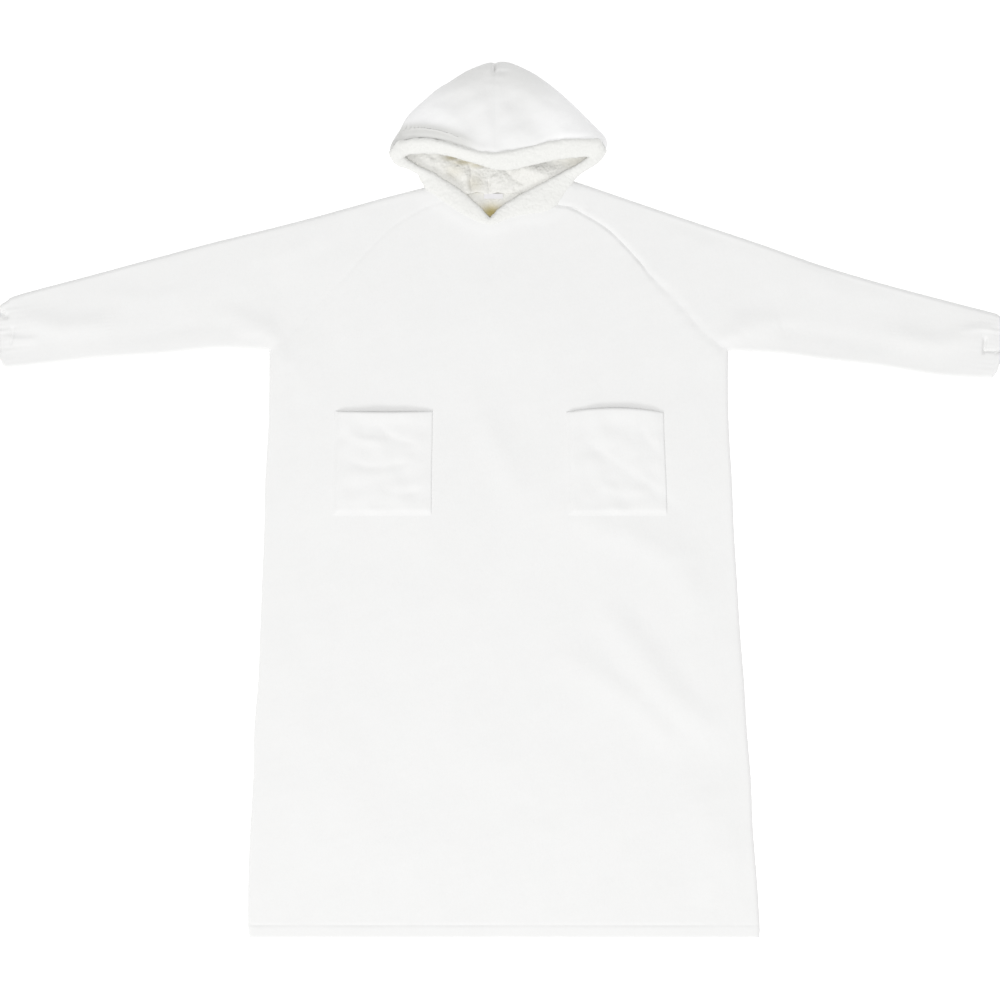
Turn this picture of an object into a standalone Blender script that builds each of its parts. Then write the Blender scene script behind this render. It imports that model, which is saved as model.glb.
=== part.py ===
"""Wearable blanket hoodie laid flat with its front up.

Lengths below are millimetres and become metres when a mesh is made. X runs across the garment, Y from
hem to crown, Z up from the surface it lies on. The wearer's left is +X. A layer is one thickness of plush
bonded to sherpa.
"""

import bpy
import numpy as np

MM = 0.001

WALL = 6.0
LAYER_GAP = 1.3
SEAM = 0.4
EDGE_RADIUS = WALL + LAYER_GAP / 2
EDGE_HEIGHT = EDGE_RADIUS

HEM_DEPTH = 14.0
HEM_EXTRA = 1.2
HEM_GROOVE = 1.3
HEM_Y = -700.0

POCKET_WALL = 3.0
POCKET_BELLY = 2.6

HOOD_CENTRE_X = -8.3
BACK_NECK_Y = 492.0
HOOD_EDGE_HEIGHT = 16.0
HOOD_UNDER_RADIUS = 26.0
HOOD_TOP_RADIUS = 62.0
HOOD_TOP_HEIGHT = 45.0

TRIM_THICK = 9.0
TRIM_CLEAR = 0.9
TRIM_OVER_NECK = 1.8

LINING_WALL = 3.0
LINING_CLEAR = 0.8
NECK_LINING_WALL = 2.0
LABEL_SIZE = (30.0, 8.0)
LABEL_WALL = 0.8
LABEL_CENTRE = (-10.4, 485.6)

# Side edges of the body: height up the garment, x of the wearer's right edge, x of the left edge.
SIDES = (
    (-740.0, -400.0, 416.0),
    (-700.0, -401.0, 415.0),
    (-688.0, -403.2, 416.0),
    (-608.0, -403.2, 411.2),
    (-528.0, -400.0, 404.8),
    (-448.0, -395.2, 401.6),
    (-368.0, -393.6, 395.2),
    (-288.0, -387.2, 390.4),
    (-208.0, -384.0, 384.0),
    (-128.0, -380.8, 379.2),
    (-48.0, -377.6, 374.4),
    (32.0, -376.0, 371.2),
    (112.0, -371.2, 366.4),
    (192.0, -369.6, 364.8),
    (238.0, -369.6, 365.6),
)

RIGHT_UNDERARM = (
    (-369.6, 238.0), (-448.0, 241.6), (-544.0, 233.6), (-640.0, 228.8), (-736.0, 219.2), (-790.0, 212.8),
)
RIGHT_SLEEVE_TOP = (
    (-121.6, 500.0), (-192.0, 481.6), (-320.0, 446.4), (-480.0, 406.4), (-640.0, 363.2), (-768.0, 329.6),
    (-790.0, 320.5),
)
LEFT_UNDERARM = (
    (365.6, 238.0), (448.0, 233.6), (512.0, 225.6), (608.0, 216.0), (704.0, 201.6), (790.0, 197.8),
)
LEFT_SLEEVE_TOP = (
    (118.4, 510.4), (169.6, 492.8), (225.6, 473.6), (320.0, 441.6), (416.0, 409.6), (512.0, 376.0),
    (608.0, 347.2), (704.0, 321.6), (790.0, 299.4),
)

# Sleeve ends: x, y of the lower edge, y of the upper edge. The gather is between the sleeve and its cuff.
RIGHT_GATHER = ((-795.5, 218.0, 316.0), (-799.6, 232.0, 308.5))
RIGHT_CUFF = ((-799.9, 232.0, 308.5), (-812.0, 228.6, 307.4), (-832.0, 224.6, 303.8), (-844.8, 223.4, 299.8))
LEFT_GATHER = ((795.5, 203.4, 297.4), (799.6, 217.8, 294.2))
LEFT_CUFF = ((799.9, 217.8, 294.2), (812.0, 214.4, 293.1), (832.0, 210.4, 289.5), (844.8, 209.2, 285.5))

# Seam from the underarm up to the neck on the front layer, then along the neck to the side of the neck.
RIGHT_RAGLAN = (
    (-369.6, 238.0), (-331.2, 266.0), (-291.2, 312.0), (-244.8, 358.4), (-227.2, 380.8), (-179.2, 430.4),
    (-137.6, 458.0), (-112.0, 470.0), (-89.6, 475.2),
)
LEFT_RAGLAN = (
    (365.6, 238.0), (328.0, 266.0), (288.0, 312.0), (241.6, 358.4), (224.0, 380.8), (176.0, 430.4),
    (134.4, 457.0), (112.0, 467.8), (90.0, 470.0),
)
RIGHT_BACK_RAGLAN = ((-369.6, 238.0), (-310.0, 292.0), (-228.0, 378.0), (-140.0, 456.0), (-88.0, 492.0))
LEFT_BACK_RAGLAN = ((365.6, 238.0), (308.0, 292.0), (226.0, 378.0), (140.0, 456.0), (88.0, 492.0))

FRONT_NECK = (
    (-121.6, 500.0), (-107.0, 487.0), (-89.6, 475.2), (-66.0, 459.0), (-44.8, 448.0), (-17.6, 441.0),
    (4.0, 446.0), (24.0, 453.4), (50.0, 457.0), (76.0, 461.0), (90.0, 470.0), (105.0, 487.0),
    (118.4, 510.4),
)

HOOD_EDGE = (
    (-121.6, 500.0), (-123.6, 510.4), (-129.6, 519.0), (-141.0, 526.4), (-160.0, 534.4), (-171.2, 544.0),
    (-176.0, 556.8), (-174.4, 568.0), (-168.0, 579.2), (-160.0, 591.2), (-153.0, 606.0), (-144.0, 617.6),
    (-134.4, 627.2), (-121.6, 638.4), (-102.4, 655.0), (-83.2, 667.0), (-56.0, 684.0), (-38.4, 692.0),
    (-20.0, 698.4), (-1.6, 700.4), (16.0, 698.8), (32.0, 692.4), (48.0, 684.8), (64.0, 675.2),
    (89.6, 656.0), (110.4, 637.6), (131.2, 617.6), (150.4, 598.4), (160.0, 588.8), (168.6, 579.2),
    (171.4, 569.6), (169.6, 560.0), (164.8, 550.4), (156.8, 540.8), (144.0, 531.2), (131.2, 522.6),
    (122.0, 516.0), (118.4, 510.4),
)
RIGHT_CORNER = (-176.0, 556.8)
LEFT_CORNER = (169.6, 560.0)

# Seam between the hood and its turned-out band, from the wearer's right to the left.
BRIM = (
    (-165.0, 573.0), (-136.0, 578.6), (-104.0, 576.8), (-72.0, 568.0), (-38.4, 557.2), (-8.3, 553.8),
    (8.0, 555.2), (48.0, 564.8), (80.0, 573.4), (120.0, 578.6), (160.0, 576.5),
)

# Free edge of the band: x, y, height of its middle.
RIGHT_LIP = (
    (-16.0, 453.4, 14.0), (-38.4, 472.0, 15.0), (-59.2, 491.2, 16.0), (-83.2, 507.2, 17.0),
    (-104.0, 520.0, 18.0),
)
RIGHT_SIDE_LIP = ((-104.0, 520.0, 18.0), (-131.2, 532.0, 21.0), (-156.0, 546.0, 24.0))
RIGHT_CORNER_LIP = ((-156.0, 547.0, 24.5), (-150.0, 551.0, 26.0))
RIGHT_UPPER_LIP = (
    (-144.0, 552.5, 27.0), (-112.0, 555.2, 29.0), (-84.8, 552.0, 30.0), (-64.0, 545.6, 31.0),
    (-35.2, 537.6, 31.0), (-8.3, 527.5, 31.0),
)
LEFT_LIP = (
    (-16.0, 453.4, 14.0), (8.0, 472.0, 15.0), (28.8, 484.8, 15.5), (52.8, 497.6, 16.5), (76.8, 510.4, 17.5),
    (94.0, 519.0, 18.0),
)
LEFT_SIDE_LIP = ((94.0, 519.0, 18.0), (120.0, 532.0, 21.0), (144.0, 546.5, 24.0))
LEFT_CORNER_LIP = ((144.0, 547.5, 24.5), (140.0, 549.0, 26.0))
LEFT_UPPER_LIP = (
    (134.0, 549.5, 27.0), (110.0, 546.5, 29.0), (80.0, 542.4, 30.0), (48.0, 534.4, 31.0), (18.0, 526.8, 31.0),
    (-8.3, 527.5, 31.0),
)

# Inside of the back at the neck: y, x of its right edge, x of its left edge.
NECK_LINING_ROWS = ((452.5, -44.0, 12.0), (464.0, -62.0, 58.0), (477.0, -76.0, 66.0), (491.0, -82.0, 76.0))

# Rows of a hood half, as shares of the way from back neck to crown below, and from crown to brim above.
HOOD_UNDER_ROWS = (0.0, 0.16, 0.32, 0.48, 0.64, 0.78, 0.875, 0.94, 0.98, 1.0)
HOOD_TOP_ROWS = (0.015, 0.055, 0.13, 0.25, 0.4, 0.56, 0.72, 0.86, 1.0)
HOOD_EDGE_STEPS = (0.0, 2.0, 8.0, 26.0)
TRIM_SIDE_ROWS = (1, 2, 3, 4, 5, 7, 9, 11, 13, 14, 15, 16, 17, 18)

# Spacing of the seam points: distances from the underarm or the side of the neck, then shares of the rest.
EDGE_STEPS = (0.0, 1.2, 3.2, EDGE_RADIUS)
FRONT_SHARES = (0.18, 0.38, 0.58, 0.78, 1.0)
BACK_SHARES = (0.34, 0.68, 1.0)

# Rings of a sleeve, as shares of the way from the raglan seam to the gather.
SLEEVE_STATIONS = (0.0, 0.04, 0.1, 0.2, 0.32, 0.45, 0.58, 0.7, 0.8, 0.88, 0.95, 1.0)

# Columns of the front layer at pocket height, where it runs from -375 to 370. Each pocket spans four cells.
FRONT_COLUMNS = (
    -375.0, -373.8, -371.8, -368.4, -337.0, -302.0, -267.5, -228.0, -188.0, -148.0, -108.8, -72.0, -36.0,
    0.0, 36.0, 72.0, 106.0, 146.0, 186.0, 227.0, 268.0, 302.0, 337.0, 363.4, 366.8, 368.8, 370.0,
)
FRONT_ROWS = (
    HEM_Y, -693.0, -687.2, HEM_Y + HEM_DEPTH, -684.8, -676.0, -625.0, -570.0, -515.0, -460.0, -405.0,
    -350.0, -295.0, -240.0, -190.0, -140.0, -82.0, -25.6, 17.0, 59.6, 102.2, 144.8, 176.0, 208.0, 238.0,
)
BACK_COLUMNS = (-375.0, -373.8, -371.8, -368.4, -230.0, -77.0, 73.0, 225.0, 363.4, 366.8, 368.8, 370.0)
BACK_ROWS = (HEM_Y, HEM_Y + HEM_DEPTH, -600.0, -500.0, -400.0, -300.0, -200.0, -100.0, 0.0, 120.0, 238.0)
RIGHT_POCKET = {"columns": (6, 10), "rows": (17, 21), "arch": 0.0}
LEFT_POCKET = {"columns": (16, 20), "rows": (17, 21), "arch": 7.0}

# Soft folds that stand up from the front layer: points along the crest, height, half width.
FOLDS = (
    (((110.0, -20.0), (205.0, -55.0), (290.0, -95.0), (312.0, -180.0)), 8.0, 26.0),
    (((165.0, -170.0), (215.0, -235.0), (270.0, -310.0), (350.0, -380.0)), 9.0, 26.0),
    (((125.0, -260.0), (215.0, -320.0), (290.0, -400.0)), 6.0, 22.0),
    (((330.0, -455.0), (352.0, -560.0), (340.0, -655.0)), 7.0, 30.0),
    (((-36.0, 140.0), (5.0, 60.0), (40.0, -10.0)), 4.0, 24.0),
    (((-430.0, 290.0), (-375.0, 272.0), (-345.0, 205.0)), 7.0, 17.0),
    (((450.0, 284.0), (385.0, 276.0), (345.0, 225.0)), 7.0, 17.0),
    (((-772.0, 290.0), (-700.0, 275.0), (-620.0, 283.0)), 5.0, 16.0),
    (((772.0, 262.0), (700.0, 250.0), (625.0, 262.0)), 5.0, 16.0),
)

COLOURS = {
    "plush": (0.93, 0.93, 0.92, 1.0),
    "sherpa": (0.90, 0.885, 0.83, 1.0),
    "label": (0.92, 0.92, 0.91, 1.0),
}
ROUGHNESS = 0.95


def along(points, shares):
    """Points at shares of the length of a polyline."""
    points = np.array(points, float)
    steps = np.linalg.norm(np.diff(points, axis=0), axis=1)
    run = np.concatenate([[0.0], np.cumsum(steps)]) / steps.sum()
    return np.stack([np.interp(shares, run, points[:, k]) for k in range(points.shape[1])], axis=-1)


def length(points):
    return np.linalg.norm(np.diff(np.array(points, float), axis=0), axis=1).sum()


def smooth(points, step=8.0):
    """The points joined by an even curve through them."""
    points = np.array(points, float)
    before = 2 * points[0] - points[1]
    after = 2 * points[-1] - points[-2]
    ring = np.vstack([before, points, after])
    made = []
    for a, b, c, d in zip(ring[:-3], ring[1:-2], ring[2:-1], ring[3:]):
        count = max(1, int(round(np.linalg.norm(c - b) / step)))
        for t in np.arange(count) / count:
            made.append(
                0.5
                * (2 * b + (c - a) * t + (2 * a - 5 * b + 4 * c - d) * t**2 + (3 * b - a - 3 * c + d) * t**3)
            )
    made.append(points[-1])
    return np.array(made)


def moved_aside(points, distance):
    """A plan line moved to its left by a distance."""
    points = np.array(points, float)
    direction = np.gradient(points, axis=0)
    direction /= np.linalg.norm(direction, axis=1)[:, None]
    return points + distance * np.column_stack([-direction[:, 1], direction[:, 0]])


def eased(values):
    values = np.clip(values, 0.0, 1.0)
    return values * values * (3.0 - 2.0 * values)


def sleeve_end(cuff, row):
    return [(x, values[row]) for x, *values in cuff]


SIDE_LINES = {
    "right": smooth([(x, y) for y, x, _ in SIDES], 12.0),
    "left": smooth([(x, y) for y, _, x in SIDES], 12.0),
}
HOOD_LINE = smooth(HOOD_EDGE, 5.0)
FRONT_NECK_LINE = smooth(FRONT_NECK, 4.0)
BRIM_LINE = smooth(BRIM, 6.0)


def beyond(points):
    """A point 30 mm past the end of a line, so that an open end of the cloth isn't taken for an edge."""
    last = np.array(points[-1], float)
    step = last - np.array(points[-2], float)
    return last + 30.0 * step / np.linalg.norm(step)


def laid_outline():
    """The plan outline of the whole garment, counter-clockwise."""
    right_low = list(smooth(RIGHT_UNDERARM)) + sleeve_end(RIGHT_GATHER, 0) + sleeve_end(RIGHT_CUFF[1:], 0)
    right_high = list(smooth(RIGHT_SLEEVE_TOP)) + sleeve_end(RIGHT_GATHER, 1) + sleeve_end(RIGHT_CUFF[1:], 1)
    left_low = list(smooth(LEFT_UNDERARM)) + sleeve_end(LEFT_GATHER, 0) + sleeve_end(LEFT_CUFF[1:], 0)
    left_high = list(smooth(LEFT_SLEEVE_TOP)) + sleeve_end(LEFT_GATHER, 1) + sleeve_end(LEFT_CUFF[1:], 1)
    lines = (
        list(SIDE_LINES["right"]),
        right_low[1:] + [beyond(right_low)],
        [beyond(right_high)] + right_high[::-1],
        list(HOOD_LINE[1:]),
        left_high[1:] + [beyond(left_high)],
        [beyond(left_low)] + left_low[::-1],
        list(SIDE_LINES["left"][::-1])[1:],
    )
    return np.array([point for line in lines for point in line], float)[::-1]


OUTLINE = laid_outline()
EDGE_FROM = OUTLINE
EDGE_ALONG = np.roll(OUTLINE, -1, axis=0) - OUTLINE
EDGE_LENGTHS = np.linalg.norm(EDGE_ALONG, axis=1)[:, None]
EDGE_INWARD = np.column_stack([-EDGE_ALONG[:, 1], EDGE_ALONG[:, 0]]) / EDGE_LENGTHS


def edge_distance(plan):
    """How far each plan point is inside the outline, and the unit direction in from the edge."""
    to_point = plan[:, None, :] - EDGE_FROM
    share = np.clip((to_point * EDGE_ALONG).sum(axis=2) / (EDGE_ALONG**2).sum(axis=1), 0.0, 1.0)
    across = to_point - share[..., None] * EDGE_ALONG
    spread = np.linalg.norm(across, axis=2)
    nearest = spread.argmin(axis=1)
    distance = spread[np.arange(len(plan)), nearest]
    close = spread <= distance[:, None] + 0.4
    by_edges = (close[..., None] * EDGE_INWARD).sum(axis=1)
    by_edges /= np.linalg.norm(by_edges, axis=1)[:, None]
    straight = across[np.arange(len(plan)), nearest] / np.maximum(distance, 1e-9)[:, None]
    return distance, np.where(distance[:, None] > 1.0, straight, by_edges)


def fold_height(plan):
    """How far the soft folds lift the front layer over each plan point."""
    total = np.zeros(len(plan))
    for crest, height, half_width in FOLDS:
        points = along(crest, np.linspace(0.0, 1.0, 40))
        spread = np.linalg.norm(plan[:, None, :] - points, axis=2)
        nearest = spread.argmin(axis=1)
        ends = 1.0 - (2.0 * nearest / 39.0 - 1.0) ** 4
        total += height * (0.35 + 0.65 * ends) * np.exp(-((spread.min(axis=1) / half_width) ** 2))
    return total


def laid(plan, side, seam=0.0):
    """Outer and inner points of the laid cloth. Its side is 1 on the front layer and -1 on the back."""
    plan = np.array(plan, float)
    shape = plan.shape[:-1]
    plan = plan.reshape(-1, 2)
    distance, inward = edge_distance(plan)
    for hand in ("right", "left"):
        seam_line = SEAM_LINES[hand, side]
        at_underarm = np.linalg.norm(plan - seam_line[0], axis=1) < 0.6
        inward[at_underarm] = (seam_line[1] - seam_line[0]) / np.linalg.norm(seam_line[1] - seam_line[0])
    lean = np.clip((EDGE_RADIUS - distance) / EDGE_RADIUS, 0.0, 1.0)
    rise = np.sqrt(1.0 - lean**2)
    height = EDGE_HEIGHT + side * (EDGE_RADIUS * rise + seam * lean)
    if side > 0:
        height += fold_height(plan) * eased(distance / 30.0)
    outer = np.column_stack([plan, height])
    inner = np.column_stack([plan + WALL * lean[:, None] * inward, height - side * WALL * rise])
    return outer.reshape(*shape, 3), inner.reshape(*shape, 3)


def between(start_side, end_side, start_row, end_row, across, up):
    """Points inside four plan lines: across runs between the sides, up from the start row to the end row."""
    corner = {
        "start_low": start_row(0.0),
        "start_high": end_row(0.0),
        "end_low": start_row(1.0),
        "end_high": end_row(1.0),
    }
    a = across[..., None]
    b = up[..., None]
    flat = (
        (1 - a) * (1 - b) * corner["start_low"]
        + a * (1 - b) * corner["end_low"]
        + (1 - a) * b * corner["start_high"]
        + a * b * corner["end_high"]
    )
    return (
        (1 - a) * start_side(up) + a * end_side(up) + (1 - b) * start_row(across) + b * end_row(across) - flat
    )


def line(points):
    return lambda shares: along(points, shares)


def body(name, kind, points, faces):
    """One closed body as an object with its own material."""
    mesh = bpy.data.meshes.new(name)
    mesh.from_pydata((np.array(points) * MM).tolist(), [], faces)
    mesh.validate()
    mesh.shade_smooth()
    mesh.set_sharp_from_angle(angle=0.7)
    mesh.update()
    obj = bpy.data.objects.new(name, mesh)
    material = bpy.data.materials.new(name)
    material.use_nodes = True
    shader = material.node_tree.nodes["Principled BSDF"]
    shader.inputs["Base Color"].default_value = COLOURS[kind]
    shader.inputs["Roughness"].default_value = ROUGHNESS
    mesh.materials.append(material)
    COLLECTION.objects.link(obj)
    return obj


def facing_out(points, faces):
    """The faces, all turned over if the body they close is inside out."""
    points = np.array(points)
    total = 0.0
    for face in faces:
        for k in range(1, len(face) - 1):
            total += np.dot(points[face[0]], np.cross(points[face[k]], points[face[k + 1]]))
    return faces if total > 0 else [face[::-1] for face in faces]


def cloth_wall(name, kind, outer, inner, ring=False):
    """A wall between two grids of points. In a ring, the last column joins the first."""
    rows, columns = outer.shape[:2]
    points = np.vstack([outer.reshape(-1, 3), inner.reshape(-1, 3)])
    shift = rows * columns
    last = columns if ring else columns - 1
    faces = []
    for i in range(rows - 1):
        for j in range(last):
            k = (j + 1) % columns
            cell = [i * columns + j, i * columns + k, (i + 1) * columns + k, (i + 1) * columns + j]
            for half in ([cell[0], cell[1], cell[2]], [cell[0], cell[2], cell[3]]):
                faces.append(half)
                faces.append([shift + corner for corner in half[::-1]])
    for j in range(last):
        k = (j + 1) % columns
        for a, b in ((k, j), ((rows - 1) * columns + j, (rows - 1) * columns + k)):
            faces.append([a, b, shift + b, shift + a])
    if not ring:
        for i in range(rows - 1):
            for a, b in ((i, i + 1), (i + 1, i)):
                column = 0 if a < b else columns - 1
                near = a * columns + column
                far = b * columns + column
                faces.append([near, far, shift + far, shift + near])
    return body(name, kind, points, facing_out(points, faces))


def seam_shares(points, shares):
    """Shares of a seam's length: close together in the rounded edge it starts from, then as given."""
    total = length(points)
    steps = [distance / total for distance in EDGE_STEPS]
    return np.array(steps + [steps[-1] + share * (1.0 - steps[-1]) for share in shares])


SEAM_LINES = {
    ("right", 1): smooth(RIGHT_RAGLAN, 10.0),
    ("left", 1): smooth(LEFT_RAGLAN, 10.0),
    ("right", -1): smooth(RIGHT_BACK_RAGLAN, 10.0),
    ("left", -1): smooth(LEFT_BACK_RAGLAN, 10.0),
}


def seam_points(hand, side):
    """The points that both pieces at a raglan seam share, from the underarm to the neck."""
    shares = seam_shares(SEAM_LINES[hand, side], FRONT_SHARES if side > 0 else BACK_SHARES)
    return along(SEAM_LINES[hand, side], shares)


def neck_points(hand, side):
    """The points shared along the neck from the raglan seam to the side of the neck."""
    start = seam_points(hand, side)[-1]
    if side > 0:
        middle = len(FRONT_NECK_LINE) // 2
        neck = FRONT_NECK_LINE[: middle + 1] if hand == "right" else FRONT_NECK_LINE[middle:][::-1]
        cut = np.linalg.norm(neck - start, axis=1).argmin()
        rest = np.vstack([neck[:cut], start])
    else:
        rest = np.array([HOOD_EDGE[0] if hand == "right" else HOOD_EDGE[-1], start])
    shares = np.append(np.array(EDGE_STEPS) / length(rest), 1.0)
    return along(rest, shares)[::-1]


def panel(rows, columns, side, neck_row):
    """Plan grid of a body layer: side edges, raglan seams above them, and the neck as its last row."""
    right = np.array([(np.interp(y, SIDE_LINES["right"][:, 1], SIDE_LINES["right"][:, 0]), y) for y in rows])
    left = np.array([(np.interp(y, SIDE_LINES["left"][:, 1], SIDE_LINES["left"][:, 0]), y) for y in rows])
    gap = SEAM / 2 if side > 0 else 0.8 * SEAM
    right_seam = moved_aside(seam_points("right", side), -gap)
    left_seam = moved_aside(seam_points("left", side), gap)
    right = np.vstack([right[:-1], right_seam])
    left = np.vstack([left[:-1], left_seam])
    columns = np.array(columns)
    share = (columns - columns[0]) / (columns[-1] - columns[0])
    even = np.linspace(0.0, 1.0, len(columns))
    under = len(rows) - 1
    grid = []
    for i in range(len(right)):
        above = max(0, i - under) / (len(right) - 1 - under)
        spread = eased((i - under - len(EDGE_STEPS) + 1) / len(FRONT_SHARES))
        a = ((1 - spread) * share + spread * even)[:, None]
        row = (1 - a) * right[i] + a * left[i]
        neck = neck_row(a[:, 0])
        chord = (1 - a) * neck_row(np.array([0.0])) + a * neck_row(np.array([1.0]))
        grid.append(row + above**1.5 * (neck - chord))
    return np.array(grid)


def front_neck_row(shares):
    right = neck_points("right", 1)[0]
    left = neck_points("left", 1)[0]
    first = np.linalg.norm(FRONT_NECK_LINE - right, axis=1).argmin()
    last = np.linalg.norm(FRONT_NECK_LINE - left, axis=1).argmin()
    row = np.vstack([right, FRONT_NECK_LINE[first + 1 : last], left])
    return along(moved_aside(row, -SEAM / 2), shares)


def back_neck_row(shares):
    row = np.array([(-88.0, BACK_NECK_Y - SEAM / 2), (88.0, BACK_NECK_Y - SEAM / 2)])
    return along(row, shares)


def add_hem(outer):
    """The turned hem: thicker up to its stitch line, where the cloth is drawn in, plain at the sides."""
    depth = outer[..., 1] - HEM_Y
    stitched = np.abs(depth - HEM_DEPTH) < 0.5
    turned = depth < HEM_DEPTH - 0.5
    side_fade = np.zeros(outer.shape[:2])
    side_fade[:, len(EDGE_STEPS) - 1 : 1 - len(EDGE_STEPS)] = 1.0
    outer[..., 2] += side_fade * (HEM_EXTRA * turned - HEM_GROOVE * stitched)


def front_panel():
    plan = panel(FRONT_ROWS, FRONT_COLUMNS, 1, front_neck_row)
    outer, inner = laid(plan, 1, SEAM / 2)
    add_hem(outer)
    cloth_wall("front_panel", "plush", outer, inner)
    return outer


def back_panel():
    plan = panel(BACK_ROWS, BACK_COLUMNS, -1, back_neck_row)
    outer, inner = laid(plan, -1, SEAM / 2)
    cloth_wall("back_panel", "plush", outer, inner)


def pocket(name, front, layout):
    """A patch pocket made from the front layer's own points, lifted most at its mouth."""
    first, last = layout["columns"]
    low, high = layout["rows"]
    base = front[low : high + 1, first : last + 1].copy()
    rows, columns = base.shape[:2]
    for i in range(rows):
        for j in range(columns):
            across = 1.0 - (2.0 * j / (columns - 1) - 1.0) ** 2
            up = i / (rows - 1)
            base[i, j, 2] += SEAM + POCKET_BELLY * across * up
            base[i, j, 1] += layout["arch"] * across * max(0.0, up - 0.75) * 4.0
    outer = base.copy()
    outer[..., 2] += POCKET_WALL
    cloth_wall(name, "plush", outer, base)


def sleeve_grid(hand, side, stations):
    """Plan grid of one layer of a sleeve: a row for each station, from the raglan seam to the gather."""
    sign = -1 if hand == "right" else 1
    seam = np.vstack([seam_points(hand, side), neck_points(hand, side)[1:]])
    seam = moved_aside(seam, -sign * SEAM / 2)
    low = smooth(RIGHT_UNDERARM if hand == "right" else LEFT_UNDERARM)
    high = smooth(RIGHT_SLEEVE_TOP if hand == "right" else LEFT_SLEEVE_TOP)
    end = np.array([low[-1], high[-1]])
    run = np.concatenate([[0.0], np.cumsum(np.linalg.norm(np.diff(seam, axis=0), axis=1))])
    first = run / run[-1]
    rows = []
    for up in stations:
        width = np.linalg.norm(along(high, up) - along(low, up))
        steps = np.array(EDGE_STEPS) / width
        count = len(first) - 2 * len(steps)
        middle = steps[-1] + (1 - 2 * steps[-1]) * np.arange(1, count + 1) / (count + 1)
        level = np.concatenate([steps, middle, 1.0 - steps[::-1]])
        blend = eased(np.array(up / 0.25))
        a = (1 - blend) * first + blend * level
        if up == 0.0:
            rows.append(along(seam, first))
        else:
            rows.append(between(line(low), line(high), line(seam), line(end), a, np.full(len(a), up)))
    return np.array(rows)


def across(rings, side, count):
    """Outer and inner points across a narrow tube at rings of x, y of the lower edge, y of the upper edge."""
    outer = []
    inner = []
    for x, bottom, top in rings:
        width = top - bottom
        steps = np.array(EDGE_STEPS)
        middle = np.linspace(steps[-1], width - steps[-1], count - 2 * len(steps) + 2)[1:-1]
        level = np.concatenate([steps, middle, width - steps[::-1]])
        distance = np.minimum(level, width - level)
        lean = np.clip((EDGE_RADIUS - distance) / EDGE_RADIUS, 0.0, 1.0)
        rise = np.sqrt(1.0 - lean**2)
        inward = np.where(level < width / 2, 1.0, -1.0)
        height = EDGE_HEIGHT + side * EDGE_RADIUS * rise
        outer.append(np.column_stack([np.full(count, x), bottom + level, height]))
        sunk = bottom + level + WALL * lean * inward
        inner.append(np.column_stack([np.full(count, x), sunk, height - side * WALL * rise]))
    return np.array(outer), np.array(inner)


def tube(name, front, back):
    """A flattened tube from the outer and inner points of its front and back layers."""
    outer = np.concatenate([front[0], back[0][:, -2:0:-1]], axis=1)
    inner = np.concatenate([front[1], back[1][:, -2:0:-1]], axis=1)
    cloth_wall(name, "plush", outer, inner, ring=True)


def sleeve(hand):
    gather = RIGHT_GATHER if hand == "right" else LEFT_GATHER
    layers = []
    for side in (1, -1):
        arm = laid(sleeve_grid(hand, side, SLEEVE_STATIONS), side)
        end = across(gather, side, arm[0].shape[1])
        layers.append((np.concatenate([arm[0], end[0]]), np.concatenate([arm[1], end[1]])))
    tube("sleeve_" + hand, *layers)


def cuff(hand):
    rings = RIGHT_CUFF if hand == "right" else LEFT_CUFF
    tube("cuff_" + hand, across(rings, 1, 12), across(rings, -1, 10))


def nearest_index(points, target):
    return int(np.linalg.norm(points - np.array(target), axis=1).argmin())


def hood_lines(hand):
    """Plan lines round one half of the hood: side of the neck to mouth corner, then corner to crown."""
    crown = nearest_index(HOOD_LINE, (HOOD_CENTRE_X, 700.0))
    brim_middle = nearest_index(BRIM_LINE, (HOOD_CENTRE_X, 553.8))
    if hand == "right":
        half = HOOD_LINE[: crown + 1].copy()
        corner = nearest_index(half, RIGHT_CORNER)
        brim = BRIM_LINE[: brim_middle + 1].copy()
    else:
        half = HOOD_LINE[crown:][::-1].copy()
        corner = nearest_index(half, LEFT_CORNER)
        brim = BRIM_LINE[brim_middle:][::-1].copy()
    seam_x = HOOD_CENTRE_X + (-SEAM / 2 if hand == "right" else SEAM / 2)
    half[-1, 0] = seam_x
    brim[-1, 0] = seam_x
    return half[: corner + 1], half[corner:], brim


def hood_height(plan, growth, side):
    """Outer height and outward direction of the hood over plan points."""
    distance, inward = edge_distance(plan)
    edge = EDGE_HEIGHT + growth * (HOOD_EDGE_HEIGHT - EDGE_HEIGHT)
    if side > 0:
        radius = np.full(len(plan), HOOD_TOP_RADIUS)
        rise = HOOD_TOP_HEIGHT - edge
    else:
        radius = EDGE_RADIUS + growth * (HOOD_UNDER_RADIUS - EDGE_RADIUS)
        rise = edge
    lean = np.clip((radius - distance) / radius, 0.0, 1.0)
    up = np.sqrt(1.0 - lean**2)
    height = edge + side * rise * up
    outward = np.column_stack([-inward * (lean / radius)[:, None], side * up / rise])
    return height, outward / np.linalg.norm(outward, axis=1)[:, None]


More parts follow.
